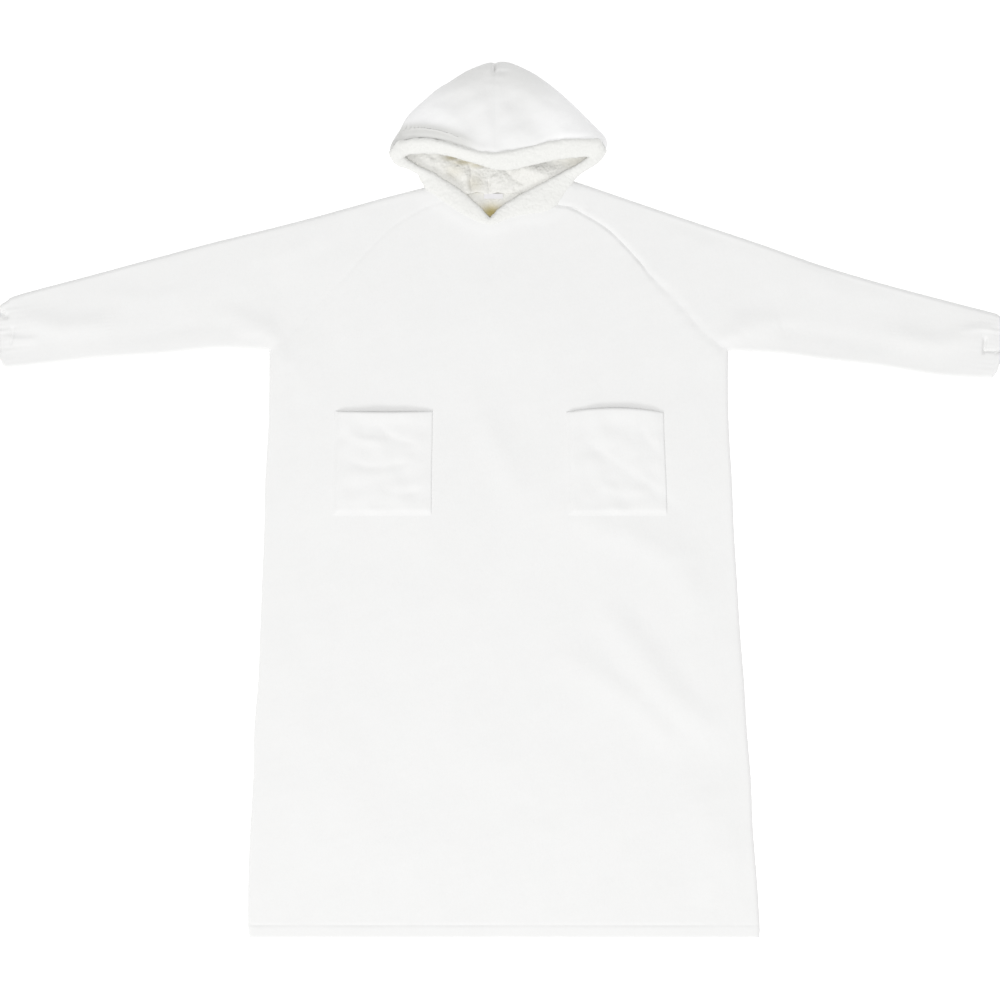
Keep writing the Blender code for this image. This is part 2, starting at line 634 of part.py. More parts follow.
def hood_half(hand):
    """The two grids of a hood half, from the back neck under and over the crown to the brim."""
    side_line, edge_line, brim = hood_lines(hand)
    seam_x = edge_line[-1, 0]
    neck = np.vstack([neck_points(hand, -1)[::-1], (seam_x, BACK_NECK_Y)])
    neck = neck + (0.0, SEAM)
    centre_under = np.array([(seam_x, BACK_NECK_Y + SEAM), edge_line[-1]])
    centre_top = np.array([edge_line[-1], (seam_x, brim[-1, 1])])
    corner_edge = np.array([edge_line[0], brim[0]])
    run = np.concatenate([[0.0], np.cumsum(np.linalg.norm(np.diff(neck, axis=0), axis=1))]) / length(neck)
    neck_shares = np.concatenate([run[:-1], run[-2] + (1.0 - run[-2]) * np.array([0.25, 0.5, 0.75, 1.0])])
    grid_outer = []
    grid_inner = []
    for side, rows in ((-1, HOOD_UNDER_ROWS), (1, HOOD_TOP_ROWS)):
        start, end = (neck, edge_line) if side < 0 else (edge_line, brim)
        edges = (side_line, centre_under) if side < 0 else (corner_edge, centre_top)
        for up in rows:
            if side < 0 and up == 0.0:
                outer, inner = laid(along(neck, neck_shares), -1)
                grid_outer.append(outer)
                grid_inner.append(inner)
                continue
            steps = np.array(HOOD_EDGE_STEPS) / (length(end) * up + length(start) * (1 - up))
            count = len(neck_shares) - len(steps)
            level = np.concatenate([steps, steps[-1] + (1 - steps[-1]) * np.arange(1, count + 1) / count])
            blend = eased(np.array(up / 0.3)) if side < 0 else 1.0
            a = (1 - blend) * neck_shares + blend * level
            plan = between(line(edges[0]), line(edges[1]), line(start), line(end), a, np.full(len(a), up))
            growth = eased(np.full(len(a), up / 0.5)) if side < 0 else np.ones(len(a))
            height, outward = hood_height(plan, growth, side)
            outward[-1, 0] = 0.0
            outward[-1] /= np.linalg.norm(outward[-1])
            outer = np.column_stack([plan, height])
            grid_outer.append(outer)
            grid_inner.append(outer - WALL * outward)
    outer = np.array(grid_outer)
    inner = np.array(grid_inner)
    cloth_wall("hood_" + hand, "plush", outer, inner)
    return outer, inner


def neck_line(hand):
    """The front neck seam as its pieces have it, from the chin to the side of the neck."""
    row = front_neck_row(np.linspace(0.0, 1.0, len(FRONT_COLUMNS)))
    chin = int(row[:, 1].argmin())
    part = row[: chin + 1][::-1] if hand == "right" else row[chin:]
    points = np.vstack([part[:-1:2], part[-1], neck_points(hand, 1)[1:]])
    clear = SEAM / 2 + TRIM_CLEAR
    return moved_aside(points, -clear if hand == "right" else clear)


def rim_stations(outer, inner, lips):
    """Band stations along a rim of the hood, with the band's outer edge placed clear of the rim."""
    ahead = np.gradient((outer + inner) / 2, axis=0)
    stations = []
    for k, share in enumerate(np.linspace(0.0, 1.0, len(outer))):
        middle = (outer[k] + inner[k]) / 2
        away = np.cross(ahead[k], outer[k] - inner[k])
        away /= np.linalg.norm(away)
        free = along(lips, share)
        away *= np.sign(np.dot(away, free - middle))
        arrival = (middle - free) / np.linalg.norm(middle - free)
        facing = min(1.0, abs(np.dot(arrival, away)))
        base = middle + (outer[k] - middle) * (1.0 - facing)
        clear = TRIM_CLEAR + TRIM_THICK / 2 * np.sqrt(1.0 - facing**2)
        stations.append((base + away * clear, free))
    return stations


def trim_half(hand, grids):
    """Band stations from the chin round one side to the middle of the brim: outer and free edge."""
    lips = (RIGHT_LIP, RIGHT_SIDE_LIP, RIGHT_CORNER_LIP, RIGHT_UPPER_LIP)
    if hand == "left":
        lips = (LEFT_LIP, LEFT_SIDE_LIP, LEFT_CORNER_LIP, LEFT_UPPER_LIP)
    neck = neck_line(hand)
    run = np.concatenate([[0.0], np.cumsum(np.linalg.norm(np.diff(neck, axis=0), axis=1))]) / length(neck)
    rise = EDGE_HEIGHT + TRIM_OVER_NECK + TRIM_THICK / 2
    stations = [(np.append(point, rise), along(lips[0], share)) for point, share in zip(neck, run)]
    outer, inner = grids
    under = len(HOOD_UNDER_ROWS)
    side_rows = [k for k in TRIM_SIDE_ROWS if k < under]
    corner_rows = [k for k in TRIM_SIDE_ROWS if k >= under]
    for rows, lip in ((side_rows, lips[1]), (corner_rows, lips[2])):
        stations += rim_stations(outer[rows, 0], inner[rows, 0], lip)
    stations += rim_stations(outer[-1, 2:], inner[-1, 2:], lips[3])
    return stations


def trim(right_grids, left_grids):
    """The turned-out band round the face opening, as one closed roll."""
    right = trim_half("right", right_grids)
    left = trim_half("left", left_grids)
    middle = ((right[-1][0] + left[-1][0]) / 2, (right[-1][1] + left[-1][1]) / 2)
    stations = right[:-1] + [middle] + left[-2:0:-1]
    outer = np.array([station[0] for station in stations])
    free = np.array([station[1] for station in stations])
    angles = np.linspace(0.0, 2.0 * np.pi, 10, endpoint=False)
    run = np.sign(np.cos(angles)) * np.abs(np.cos(angles)) ** 0.6
    lift = np.sign(np.sin(angles)) * np.abs(np.sin(angles)) ** 0.8
    count = len(stations)
    points = []
    for k in range(count):
        across_band = outer[k] - free[k]
        width = np.linalg.norm(across_band)
        across_band = across_band / width
        ahead = (outer + free)[(k + 1) % count] - (outer + free)[k - 1]
        up = np.cross(across_band, ahead)
        up /= np.linalg.norm(up)
        up *= np.sign(up[2])
        middle = (outer[k] + free[k]) / 2
        points += [middle + across_band * width / 2 * x + up * TRIM_THICK / 2 * z for x, z in zip(run, lift)]
    faces = []
    sides = len(angles)
    for k in range(count):
        for s in range(sides):
            a, b = k * sides, ((k + 1) % count) * sides
            t = (s + 1) % sides
            faces.append([a + s, a + t, b + t, b + s])
    body("hood_trim", "sherpa", points, facing_out(points, faces))


def hood_lining(right_grids, left_grids):
    """Sherpa inside the back of the hood, made from the inner points of its two halves."""
    rows = slice(0, 5)
    first = len(HOOD_EDGE_STEPS) - 1
    base = []
    normal = []
    for outer, inner in (right_grids, left_grids):
        base.append(inner[rows, first:])
        normal.append((inner - outer)[rows, first:] / WALL)
    middle = (base[0][:, -1:] + base[1][:, -1:]) / 2
    low = np.concatenate([base[0][:, :-1], middle, base[1][:, -2::-1]], axis=1)
    out = np.concatenate([normal[0][:, :-1], normal[0][:, -1:], normal[1][:, -2::-1]], axis=1)
    low[0] = along(low[0], np.linspace(0.14, 0.86, low.shape[1])) + (0.0, 1.0, 0.0)
    out[0] = (0.0, 0.0, 1.0)
    low = low + LINING_CLEAR * out
    cloth_wall("hood_lining", "sherpa", low + LINING_WALL * out, low)


def neck_lining():
    """Inside of the back seen through the neck."""
    rows = []
    for y, right_x, left_x in NECK_LINING_ROWS:
        rows.append([(x, y) for x in np.linspace(right_x, left_x, 5)])
    plan = np.array(rows)
    low = np.concatenate([plan, np.full((*plan.shape[:2], 1), WALL + SEAM)], axis=2)
    cloth_wall("neck_lining", "sherpa", low + (0.0, 0.0, NECK_LINING_WALL), low)


def neck_label():
    """The blank label under the back neck seam."""
    width, depth = LABEL_SIZE
    x, y = LABEL_CENTRE
    base = WALL + SEAM + NECK_LINING_WALL + SEAM
    low = np.array(
        [[(x + i * width / 2, y + j * depth / 2, base) for i in (-1, 0, 1)] for j in (-1, 1)], float
    )
    cloth_wall("neck_label", "label", low + (0.0, 0.0, LABEL_WALL), low)


for old in list(bpy.data.objects):
    bpy.data.objects.remove(old)
COLLECTION = bpy.data.collections.new("wearable_blanket_hoodie")
bpy.context.scene.collection.children.link(COLLECTION)

FRONT = front_panel()
back_panel()
pocket("pocket_right", FRONT, RIGHT_POCKET)
pocket("pocket_left", FRONT, LEFT_POCKET)
for arm in ("right", "left"):
    sleeve(arm)
    cuff(arm)
HOOD_RIGHT = hood_half("right")
HOOD_LEFT = hood_half("left")
trim(HOOD_RIGHT, HOOD_LEFT)
hood_lining(HOOD_RIGHT, HOOD_LEFT)
neck_lining()
neck_label()
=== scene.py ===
import math

import bmesh
import bpy
import numpy as np
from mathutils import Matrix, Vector, noise


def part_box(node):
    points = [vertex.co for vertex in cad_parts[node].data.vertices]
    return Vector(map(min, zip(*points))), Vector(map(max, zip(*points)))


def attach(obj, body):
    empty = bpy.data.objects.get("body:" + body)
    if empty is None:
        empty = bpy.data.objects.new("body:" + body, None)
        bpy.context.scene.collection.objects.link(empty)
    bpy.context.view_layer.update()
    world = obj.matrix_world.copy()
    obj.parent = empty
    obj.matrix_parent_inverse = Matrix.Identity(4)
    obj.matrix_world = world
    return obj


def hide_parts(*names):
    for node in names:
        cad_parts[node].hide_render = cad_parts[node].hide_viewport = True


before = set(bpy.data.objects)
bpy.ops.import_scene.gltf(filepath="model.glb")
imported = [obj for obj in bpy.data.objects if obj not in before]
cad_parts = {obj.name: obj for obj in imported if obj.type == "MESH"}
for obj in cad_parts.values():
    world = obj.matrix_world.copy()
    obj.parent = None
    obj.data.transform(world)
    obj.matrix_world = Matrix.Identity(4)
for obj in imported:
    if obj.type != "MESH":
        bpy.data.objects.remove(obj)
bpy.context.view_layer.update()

# Lengths in the tables are millimetres in the part's own frame. MM turns them into metres.
MM = 0.001

# The camera looks straight down, and sees 1.6 m at the height of the cloth's side edges.
CAMERA_HEIGHT = 6.0066
CAMERA_LENS = 135.0

PLUSH_COLOUR = (0.80, 0.80, 0.795)
# Colour of the painted shade on the hood; mixed in below 0 it paints light instead.
PAINTED_HOOD_SHADE_COLOUR = (0.665, 0.665, 0.65)
SHERPA_COLOUR = (0.79, 0.79, 0.768)
LINING_COLOUR = (0.80, 0.795, 0.765)
# Warm colour of the painted shade in the lining's hollows.
PAINTED_LINING_SHADE_COLOUR = (0.43, 0.36, 0.15)
LABEL_COLOUR = (0.80, 0.79, 0.805)
FLOOR_COLOUR = (0.95, 0.95, 0.95)
FLOOR_EMISSION = 0.35
WORLD_STRENGTH = 0.62

WAVE_COUNT = 20

# Creases of the front: points along the crest, height (below 0 is a trough), half width on its two sides.
FRONT_CREASES = (
    (((128, -16), (200, -44), (280, -84), (330, -160)), -0.8, 18, 22),
    (((115, 106), (190, 55), (264, 3), (300, -36)), -1.3, 7, 12),
    (((180, -150), (240, -205), (290, -280), (340, -362)), -0.8, 16, 24),
    (((150, -242), (236, -318), (316, -400)), -0.6, 12, 18),
    (((330, -440), (352, -560), (346, -680)), -1, 18, 24),
    (((20, -470), (60, -500), (100, -512)), -0.6, 14, 20),
    (((-340, 236), (-330, 170), (-322, 110)), -0.9, 9, 12),
)

# Creases of the sleeves, right then left, in the same columns.
SLEEVE_CREASES = (
    (((-808, 308), (-797, 300), (-783, 290)), -4, 3, 5),
    (((-778.5, 280), (-779.5, 262), (-782.5, 245)), -2.8, 2.6, 3.2),
    (((-798, 262), (-770, 256), (-730, 258)), 1.8, 6, 9),
    (((-640, 330), (-560, 322), (-470, 340)), 0.8, 14, 20),
    (((-340, 240), (-372, 274), (-430, 281), (-520, 272), (-660, 246)), -0.9, 12, 16),
    (((-250, 430), (-330, 400), (-430, 378)), 0.7, 14, 20),
    (((776.5, 263), (775, 250), (773, 229)), -3.8, 2.4, 3),
    (((814, 237), (800, 237), (786, 237.5), (768, 239)), -3.4, 2.2, 2.6),
    (((798, 270), (770, 274), (728, 268)), 1.8, 6, 9),
    (((640, 318), (560, 330), (470, 360)), 0.8, 14, 20),
    (((345, 300), (380, 282), (450, 274), (560, 256), (680, 238)), -1.1, 12, 16),
    (((250, 440), (330, 408), (430, 380)), 0.7, 14, 20),
)

# Creases of the pockets, right then left, in the same columns.
POCKET_CREASES = (
    (((-252, 112), (-214, 96), (-160, 92)), 1.3, 6, 9),
    (((-250, 66), (-206, 52), (-150, 58), (-118, 52)), -1.3, 6, 8),
    (((-196, 20), (-160, 12), (-116, 16)), -1.2, 6, 8),
    (((-196, 124), (-172, 100), (-128, 88)), -1.1, 5, 7),
    (((222, 120), (238, 92), (256, 84)), -1, 6, 8),
    (((150, 30), (196, 14), (250, 18)), 1, 8, 9),
)

# Creases of the lining inside the hood.
LINING_CREASES = (
    (((0, 533), (10, 526), (22, 516), (42, 502)), -4, 3, 6),
    (((-52, 540), (-46, 526), (-47.5, 507), (-42, 488)), -4.6, 6, 3.5),
    (((-20, 514), (-18, 505), (-18, 488)), -3.6, 3.5, 3),
    (((20, 501), (28, 497), (40, 492)), -2.6, 2.5, 3.5),
    (((-100, 556), (-96, 545), (-97, 526)), -2.6, 4, 4),
    (((-86, 530), (-66, 512), (-56, 498)), -3.6, 6, 6),
    (((-70, 536), (-60, 520), (-58, 510)), 2.4, 7, 7),
    (((-12, 520), (-4, 508), (0, 498)), 2.4, 8, 8),
    (((60, 540), (86, 528), (110, 530)), 2, 8, 8),
    (((20, 534), (50, 527), (84, 519)), 4, 9, 9),
)

# Painted warm shade in the lining's hollows, where shadow falls under the band and in the V: x, y, half
# width, half height, amount.
PAINTED_SHADE_SPOTS = (
    (-14, 459, 18, 14, 1),
    (-77, 547, 12, 5, 0.6),
    (-58, 540, 16, 5, 0.55),
    (-38, 535, 12, 4, 0.4),
    (122, 540, 24, 8, 0.15),
    (-72, 527, 17, 12, 0.17),
    (-40, 505, 13, 14, 0.22),
)

# The fold that lies over the brim on the wearer's right.
BRIM_FOLD = (
    (-178, 588), (-160, 592), (-134, 593.5), (-108, 591), (-84, 585), (-62, 576),
    (-42, 565), (-24, 556),
)

# Creases of the hood's upper side.
HOOD_CREASES = (
    (((-5, 682), (6, 683.5), (17, 688)), -2.6, 3, 5),
    (((-42, 642), (-22, 606), (-26, 572)), 1.6, 12, 16),
    (((58, 640), (84, 612), (92, 586)), 1.3, 14, 18),
    (((-112, 628), (-84, 612), (-58, 604)), 1.1, 12, 16),
)

WALL = 6.0
LAYER_GAP = 1.3
SEAM = 0.02
EDGE_RADIUS = WALL + LAYER_GAP / 2
EDGE_HEIGHT = EDGE_RADIUS
HEM_DEPTH = 20.5
HEM_EXTRA = 0.4
HEM_GROOVE = 0.6
HEM_Y = -700.0
POCKET_WALL = 3.0
POCKET_BELLY = 2.6
HOOD_CENTRE_X = -8.3
OPENING_CENTRE = (-5, 510)
CHIN = (-16.5, 454)
CHIN_DROP = 4.6
NECK_RISE = 3.6
GATHER_PLEAT = 0.45
CROWN_GROOVE = 3.2
BACK_NECK_Y = 492.0
HOOD_EDGE_HEIGHT = 16.0
HOOD_UNDER_RADIUS = 26.0
HOOD_TOP_RADIUS = 62.0
HOOD_TOP_HEIGHT = 45.0
# Points of the hood above this height belong to its upper side.
HOOD_FOLD_HEIGHT = 20
# Side edges of the body: height up the garment, x of the wearer's right edge, x of the left edge.
SIDES = (
    (-740, -400, 416),
    (-700, -401, 415),
    (-688, -403.2, 416),
    (-608, -403.2, 411.2),
    (-528, -400, 404.8),
    (-448, -395.2, 401.6),
    (-368, -393.6, 395.2),
    (-288, -387.2, 390.4),
    (-208, -384, 384),
    (-128, -380.8, 379.2),
    (-48, -377.6, 374.4),
    (32, -376, 371.2),
    (112, -371.2, 366.4),
    (192, -369.6, 364.8),
    (238, -369.6, 365.6),
)
RIGHT_UNDERARM = (
    (-369.6, 238), (-448, 241), (-544, 232), (-640, 225.5), (-736, 215), (-790, 209.5),
)
RIGHT_SLEEVE_TOP = (
    (-121.6, 500), (-192, 481.6), (-320, 446.4), (-480, 406.4), (-640, 363.2), (-768, 329),
    (-790, 318),
)
LEFT_UNDERARM = (
    (365.6, 238), (448, 232.6), (512, 224), (608, 212.6), (704, 197.6), (780, 194),
    (790, 197.5),
)
LEFT_SLEEVE_TOP = (
    (118.4, 510.4), (169.6, 492.8), (225.6, 473.6), (320, 441.6), (416, 409.6), (512, 376),
    (608, 347.2), (704, 321.6), (790, 299.4),
)
# Sleeve ends: x, y of the lower edge, y of the upper edge. The gather is between the sleeve and its cuff.
RIGHT_GATHER = ((-795.5, 214, 315), (-799.6, 224, 311.5))
RIGHT_CUFF = ((-799.9, 226, 311), (-812, 228.6, 307.4), (-832, 224.6, 303.8), (-844.8, 223.4, 299.8))
LEFT_GATHER = ((795.5, 205, 297.4), (799.6, 219, 294.2))
LEFT_CUFF = ((799.9, 217.8, 294.2), (812, 214.4, 293.1), (832, 210.4, 289.5), (844.8, 209.2, 285.5))
# Seam from the underarm up to the neck on the front layer, then along the neck to the side of the neck.
RIGHT_RAGLAN = (
    (-369.6, 238), (-331.2, 266), (-291.2, 312), (-244.8, 358.4), (-227.2, 380.8), (-179.2, 430.4),
    (-137.6, 458), (-112, 470), (-89.6, 475.2),
)
LEFT_RAGLAN = (
    (365.6, 238), (328, 266), (288, 312), (241.6, 358.4), (224, 380.8), (176, 430.4),
    (134.4, 457), (112, 467.8), (90, 470),
)
RIGHT_BACK_RAGLAN = ((-369.6, 238), (-310, 292), (-228, 378), (-140, 456), (-88, 492))
LEFT_BACK_RAGLAN = ((365.6, 238), (308, 292), (226, 378), (140, 456), (88, 492))
FRONT_NECK = (
    (-121.6, 500), (-107, 487), (-89.6, 475.2), (-66, 459), (-44.8, 448), (-17.6, 441),
    (4, 446), (24, 453.4), (50, 457), (76, 461), (90, 470), (105, 487),
    (118.4, 510.4),
)
HOOD_EDGE = (
    (-121.6, 500), (-123.6, 510.4), (-129.6, 519), (-141, 526.4), (-160, 534.4), (-171.2, 544),
    (-176, 556.8), (-174.4, 568), (-168, 579.2), (-160, 591.2), (-153, 606), (-144, 617.6),
    (-134.4, 627.2), (-121.6, 638.4), (-102.4, 655), (-83.2, 667), (-56, 684), (-38.4, 692),
    (-20, 698.4), (-1.6, 700.4), (16, 698.8), (32, 692.4), (48, 684.8), (64, 675.2),
    (89.6, 656), (110.4, 637.6), (131.2, 617.6), (150.4, 598.4), (160, 588.8), (168.6, 579.2),
    (171.4, 569.6), (169.6, 560), (164.8, 550.4), (156.8, 540.8), (144, 531.2), (131.2, 522.6),
    (122, 516), (118.4, 510.4),
)
CORNERS = {"right": (-176, 556.8), "left": (169.6, 560)}
CROWN_Y = 700
BRIM_MIDDLE_Y = 553.8
# Seam between the hood and its turned-out band, from the wearer's right to the left.
BRIM = (
    (-165, 573), (-136, 578.6), (-104, 576.8), (-72, 568), (-38.4, 557.2), (-8.3, 553.8),
    (8, 555.2), (48, 564.8), (80, 573.4), (120, 578.6), (160, 576.5),
)
# Soft folds that stand up from the front layer: points along the crest, height, half width.
FOLDS = (
    (((110, -20), (205, -55), (290, -95), (312, -180)), 3.8, 28),
    (((165, -170), (215, -235), (270, -310), (350, -380)), 3.8, 28),
    (((125, -260), (215, -320), (290, -400)), 2.7, 24),
    (((330, -455), (352, -560), (340, -655)), 3.7, 32),
    (((-36, 140), (5, 60), (40, -10)), 2.5, 26),
    (((-430, 290), (-375, 272), (-345, 205)), 4, 19),
    (((450, 284), (385, 276), (345, 225)), 4, 19),
    (((-772, 290), (-700, 275), (-620, 283)), 3.4, 18),
    (((772, 262), (700, 250), (625, 262)), 3.4, 18),
)

FRONT_SEAMS = (RIGHT_RAGLAN, LEFT_RAGLAN)
BACK_SEAMS = (RIGHT_BACK_RAGLAN, LEFT_BACK_RAGLAN)
FRONT_SEAM_DEPTHS = (0.45, 1.9)
BACK_SEAM_DEPTHS = (1.7, 1.7)
SEAM_HALF_WIDTH = 6.0

# Grids are fine here: steps in from an edge, shares of a seam, rings of a sleeve, rows of a hood half.
EDGE_STEPS = (0, 0.5, 1.2, 2.1, 3.2, 4.7, EDGE_RADIUS)
FRONT_SHARES = np.arange(1, 83) / 82
BACK_SHARES = np.arange(1, 41) / 40
NECK_SHARES = np.arange(1, 9) / 8
SLEEVE_STATIONS = np.concatenate([np.linspace(0, 0.91, 112), np.linspace(0.915, 1, 28)])
HOOD_EDGE_STEPS = (0, 1, 2.2, 4, 7, 11)
HOOD_UNDER_ROWS = 1.0 - (1.0 - np.linspace(0, 1, 44)) ** 1.6
HOOD_TOP_ROWS = np.linspace(0, 1, 84)[1:] ** 1.35
HEM_ROWS = HEM_Y + np.array(
    [0, 0.5, 1.2, 2.2, 3.6, 6, 9, 12, 15, 17.5, 19, 20, 21, 22, 23.2, 24.6, 26.5]
)
PANEL_STEP = 4.2
PANEL_SIDES = (-375, 370)
POCKETS = {
    "right": {"x": (-267.5, -108.8), "y": (-25.6, 144.8), "arch": -1.5, "drop": 2.5, "lift": 2.6},
    "left": {"x": (106, 265), "y": (-25.6, 144.8), "arch": 7, "drop": 4.5, "lift": 2},
}
POCKET_EDGES = {"plain": 11, "rolled": 4}


def smooth(points, step=4):
    """The points joined by an even curve through them."""
    points = np.array(points, float)
    ring = np.vstack([2 * points[0] - points[1], points, 2 * points[-1] - points[-2]])
    made = []
    for a, b, c, d in zip(ring[:-3], ring[1:-2], ring[2:-1], ring[3:]):
        count = max(1, int(round(np.linalg.norm(c - b) / step)))
        for t in np.arange(count) / count:
            square = (2 * a - 5 * b + 4 * c - d) * t**2
            cubic = (3 * b - a - 3 * c + d) * t**3
            made.append(0.5 * (2 * b + (c - a) * t + square + cubic))
    made.append(points[-1])
    return np.array(made)


def eased(values):
    values = np.clip(values, 0, 1)
    return values * values * (3 - 2 * values)


def bell(values, width):
    """1 at 0 and falling off evenly on both sides."""
    return np.exp(-((values / width) ** 2))


def running_length(points):
    return np.concatenate([[0], np.cumsum(np.linalg.norm(np.diff(points, axis=0), axis=1))])


def near_line(plan, line):
    """For each plan point: distance to a line, 1 or -1 for its side, and how far along the line that is."""
    run = running_length(line)
    best = np.full(len(plan), 1e9)
    side = np.ones(len(plan))
    place = np.zeros(len(plan))
    for k in range(len(line) - 1):
        step = line[k + 1] - line[k]
        size = np.linalg.norm(step)
        offset = plan - line[k]
        share = np.clip(offset @ step / size**2, 0, 1)
        spread = np.linalg.norm(offset - share[:, None] * step, axis=1)
        closer = spread < best
        best = np.where(closer, spread, best)
        side = np.where(closer, np.sign(step[0] * offset[:, 1] - step[1] * offset[:, 0]), side)
        place = np.where(closer, run[k] + share * size, place)
    return best, side, place / run[-1], run[-1]


def ripple(values, wavelength, seed):
    """Uneven waves of about unit height along one direction."""
    chance = np.random.default_rng(seed)
    total = np.zeros(np.shape(values))
    for factor in (0.7, 1, 1.37):
        total += np.cos(2 * math.pi * factor * values / wavelength + chance.uniform(0, 6.28))
    return total / 2


def waves(points, wavelength, seed):
    """Soft uneven swell of about unit height over points of any dimension."""
    chance = np.random.default_rng(seed)
    total = np.zeros(len(points))
    for _ in range(WAVE_COUNT):
        direction = chance.normal(size=points.shape[1])
        direction /= np.linalg.norm(direction)
        pace = 2 * math.pi / (wavelength * chance.uniform(0.7, 1.6))
        total += np.cos(points @ direction * pace + chance.uniform(0, 6.28))
    return total / math.sqrt(WAVE_COUNT / 2)


def crease_height(plan, creases):
    total = np.zeros(len(plan))
    for k, (points, height, left_width, right_width) in enumerate(creases):
        line = smooth(points, 8)
        box = np.all((plan > line.min(axis=0) - 80) & (plan < line.max(axis=0) + 80), axis=1)
        spread, side, place, size = near_line(plan[box], line)
        width = np.where(side > 0, left_width, right_width)
        ends = eased(place / 0.25) * eased((1 - place) / 0.3)
        uneven = 1 + 0.25 * ripple(place * size, 70, k)
        total[box] += height * ends * uneven * bell(spread, width)
    return total


def seam_height(plan, seams, depths):
    """The cloth drawn in along its seams, with small puckers that run out on both sides."""
    total = np.zeros(len(plan))
    for k, (points, depth) in enumerate(zip(seams, depths)):
        spread, side, place, size = near_line(plan, smooth(points, 6))
        upper = eased((place - 0.35) / 0.2)
        drawn = depth * (0.7 + 0.5 * upper + 0.25 * ripple(place * size, 45, 20 + k))
        total -= drawn * bell(spread, SEAM_HALF_WIDTH * (1.2 - 0.7 * upper))
        pucker = ripple(place * size + 6 * side, 24, 40 + k)
        total += 0.12 * depth * pucker * bell(spread - 9, 9)
    return total


def along(points, shares):
    """Points at shares of the length of a polyline."""
    points = np.array(points, float)
    steps = np.linalg.norm(np.diff(points, axis=0), axis=1)
    run = np.concatenate([[0], np.cumsum(steps)]) / steps.sum()
    return np.stack([np.interp(shares, run, points[:, k]) for k in range(points.shape[1])], axis=-1)


def length(points):
    return np.linalg.norm(np.diff(np.array(points, float), axis=0), axis=1).sum()


def moved_aside(points, distance):
    """A plan line moved to its left by a distance."""
    points = np.array(points, float)
    direction = np.gradient(points, axis=0)
    direction /= np.linalg.norm(direction, axis=1)[:, None]
    return points + distance * np.column_stack([-direction[:, 1], direction[:, 0]])


def sleeve_edge(points, gather, cuff, row):
    """The lower edge of a sleeve and its cuff for row 0, the upper edge for row 1."""
    return list(smooth(points)) + [(x, values[row]) for x, *values in gather + cuff[1:]]


SIDE_LINES = {
    "right": smooth([(x, y) for y, x, _ in SIDES], 12),
    "left": smooth([(x, y) for y, _, x in SIDES], 12),
}


def side_edge(hand, y):
    """How far out the side edge of the body is at heights up the garment."""
    return np.interp(y, SIDE_LINES[hand][:, 1], SIDE_LINES[hand][:, 0])


HOOD_LINE = smooth(HOOD_EDGE, 5)
FRONT_NECK_LINE = smooth(FRONT_NECK, 4)
BRIM_LINE = smooth(BRIM, 6)


def beyond(points):
    """A point 30 mm past the end of a line, so that an open end of the cloth isn't taken for an edge."""
    last = np.array(points[-1], float)
    step = last - np.array(points[-2], float)
    return last + 30 * step / np.linalg.norm(step)


def laid_outline():
    """The plan outline of the whole garment, counter-clockwise."""
    right_low = sleeve_edge(RIGHT_UNDERARM, RIGHT_GATHER, RIGHT_CUFF, 0)
    right_high = sleeve_edge(RIGHT_SLEEVE_TOP, RIGHT_GATHER, RIGHT_CUFF, 1)
    left_low = sleeve_edge(LEFT_UNDERARM, LEFT_GATHER, LEFT_CUFF, 0)
    left_high = sleeve_edge(LEFT_SLEEVE_TOP, LEFT_GATHER, LEFT_CUFF, 1)
    lines = (
        list(SIDE_LINES["right"]),
        right_low[1:] + [beyond(right_low)],
        [beyond(right_high)] + right_high[::-1],
        list(HOOD_LINE[1:]),
        left_high[1:] + [beyond(left_high)],
        [beyond(left_low)] + left_low[::-1],
        list(SIDE_LINES["left"][::-1])[1:],
    )
    return np.array([point for line in lines for point in line], float)[::-1]


OUTLINE = laid_outline()
EDGE_ALONG = np.roll(OUTLINE, -1, axis=0) - OUTLINE
EDGE_LENGTHS = np.linalg.norm(EDGE_ALONG, axis=1)[:, None]
EDGE_INWARD = np.column_stack([-EDGE_ALONG[:, 1], EDGE_ALONG[:, 0]]) / EDGE_LENGTHS


def edge_distance_of_few(plan):
    to_point = plan[:, None, :] - OUTLINE
    share = np.clip((to_point * EDGE_ALONG).sum(axis=2) / (EDGE_ALONG**2).sum(axis=1), 0, 1)
    across = to_point - share[..., None] * EDGE_ALONG
    spread = np.linalg.norm(across, axis=2)
    nearest = spread.argmin(axis=1)
    distance = spread[np.arange(len(plan)), nearest]
    close = spread <= distance[:, None] + 0.4
    by_edges = (close[..., None] * EDGE_INWARD).sum(axis=1)
    by_edges /= np.linalg.norm(by_edges, axis=1)[:, None]
    straight = across[np.arange(len(plan)), nearest] / np.maximum(distance, 1e-9)[:, None]
    return distance, np.where(distance[:, None] > 1, straight, by_edges)


def edge_distance(plan):
    """How far each plan point is inside the outline, and the unit direction in from the edge."""
    parts = [edge_distance_of_few(plan[k : k + 1500]) for k in range(0, len(plan), 1500)]
    return np.concatenate([part[0] for part in parts]), np.concatenate([part[1] for part in parts])


def fold_height(plan):
    """How far the soft folds lift the front layer over each plan point."""
    total = np.zeros(len(plan))
    for crest, height, half_width in FOLDS:
        points = along(crest, np.linspace(0, 1, 40))
        spread = np.linalg.norm(plan[:, None, :] - points, axis=2)
        nearest = spread.argmin(axis=1)
        ends = 1 - (2 * nearest / 39 - 1) ** 4
        total += height * (0.35 + 0.65 * ends) * bell(spread.min(axis=1), half_width)
    return total


def gather_height(plan):
    """Small pleats where a sleeve is gathered into its cuff."""
    reach = np.clip((800 - np.abs(plan[:, 0])) / 20, 0, 20)
    return GATHER_PLEAT * ripple(plan[:, 1] + 0.12 * np.abs(plan[:, 0]), 11, 5) * np.exp(-reach)


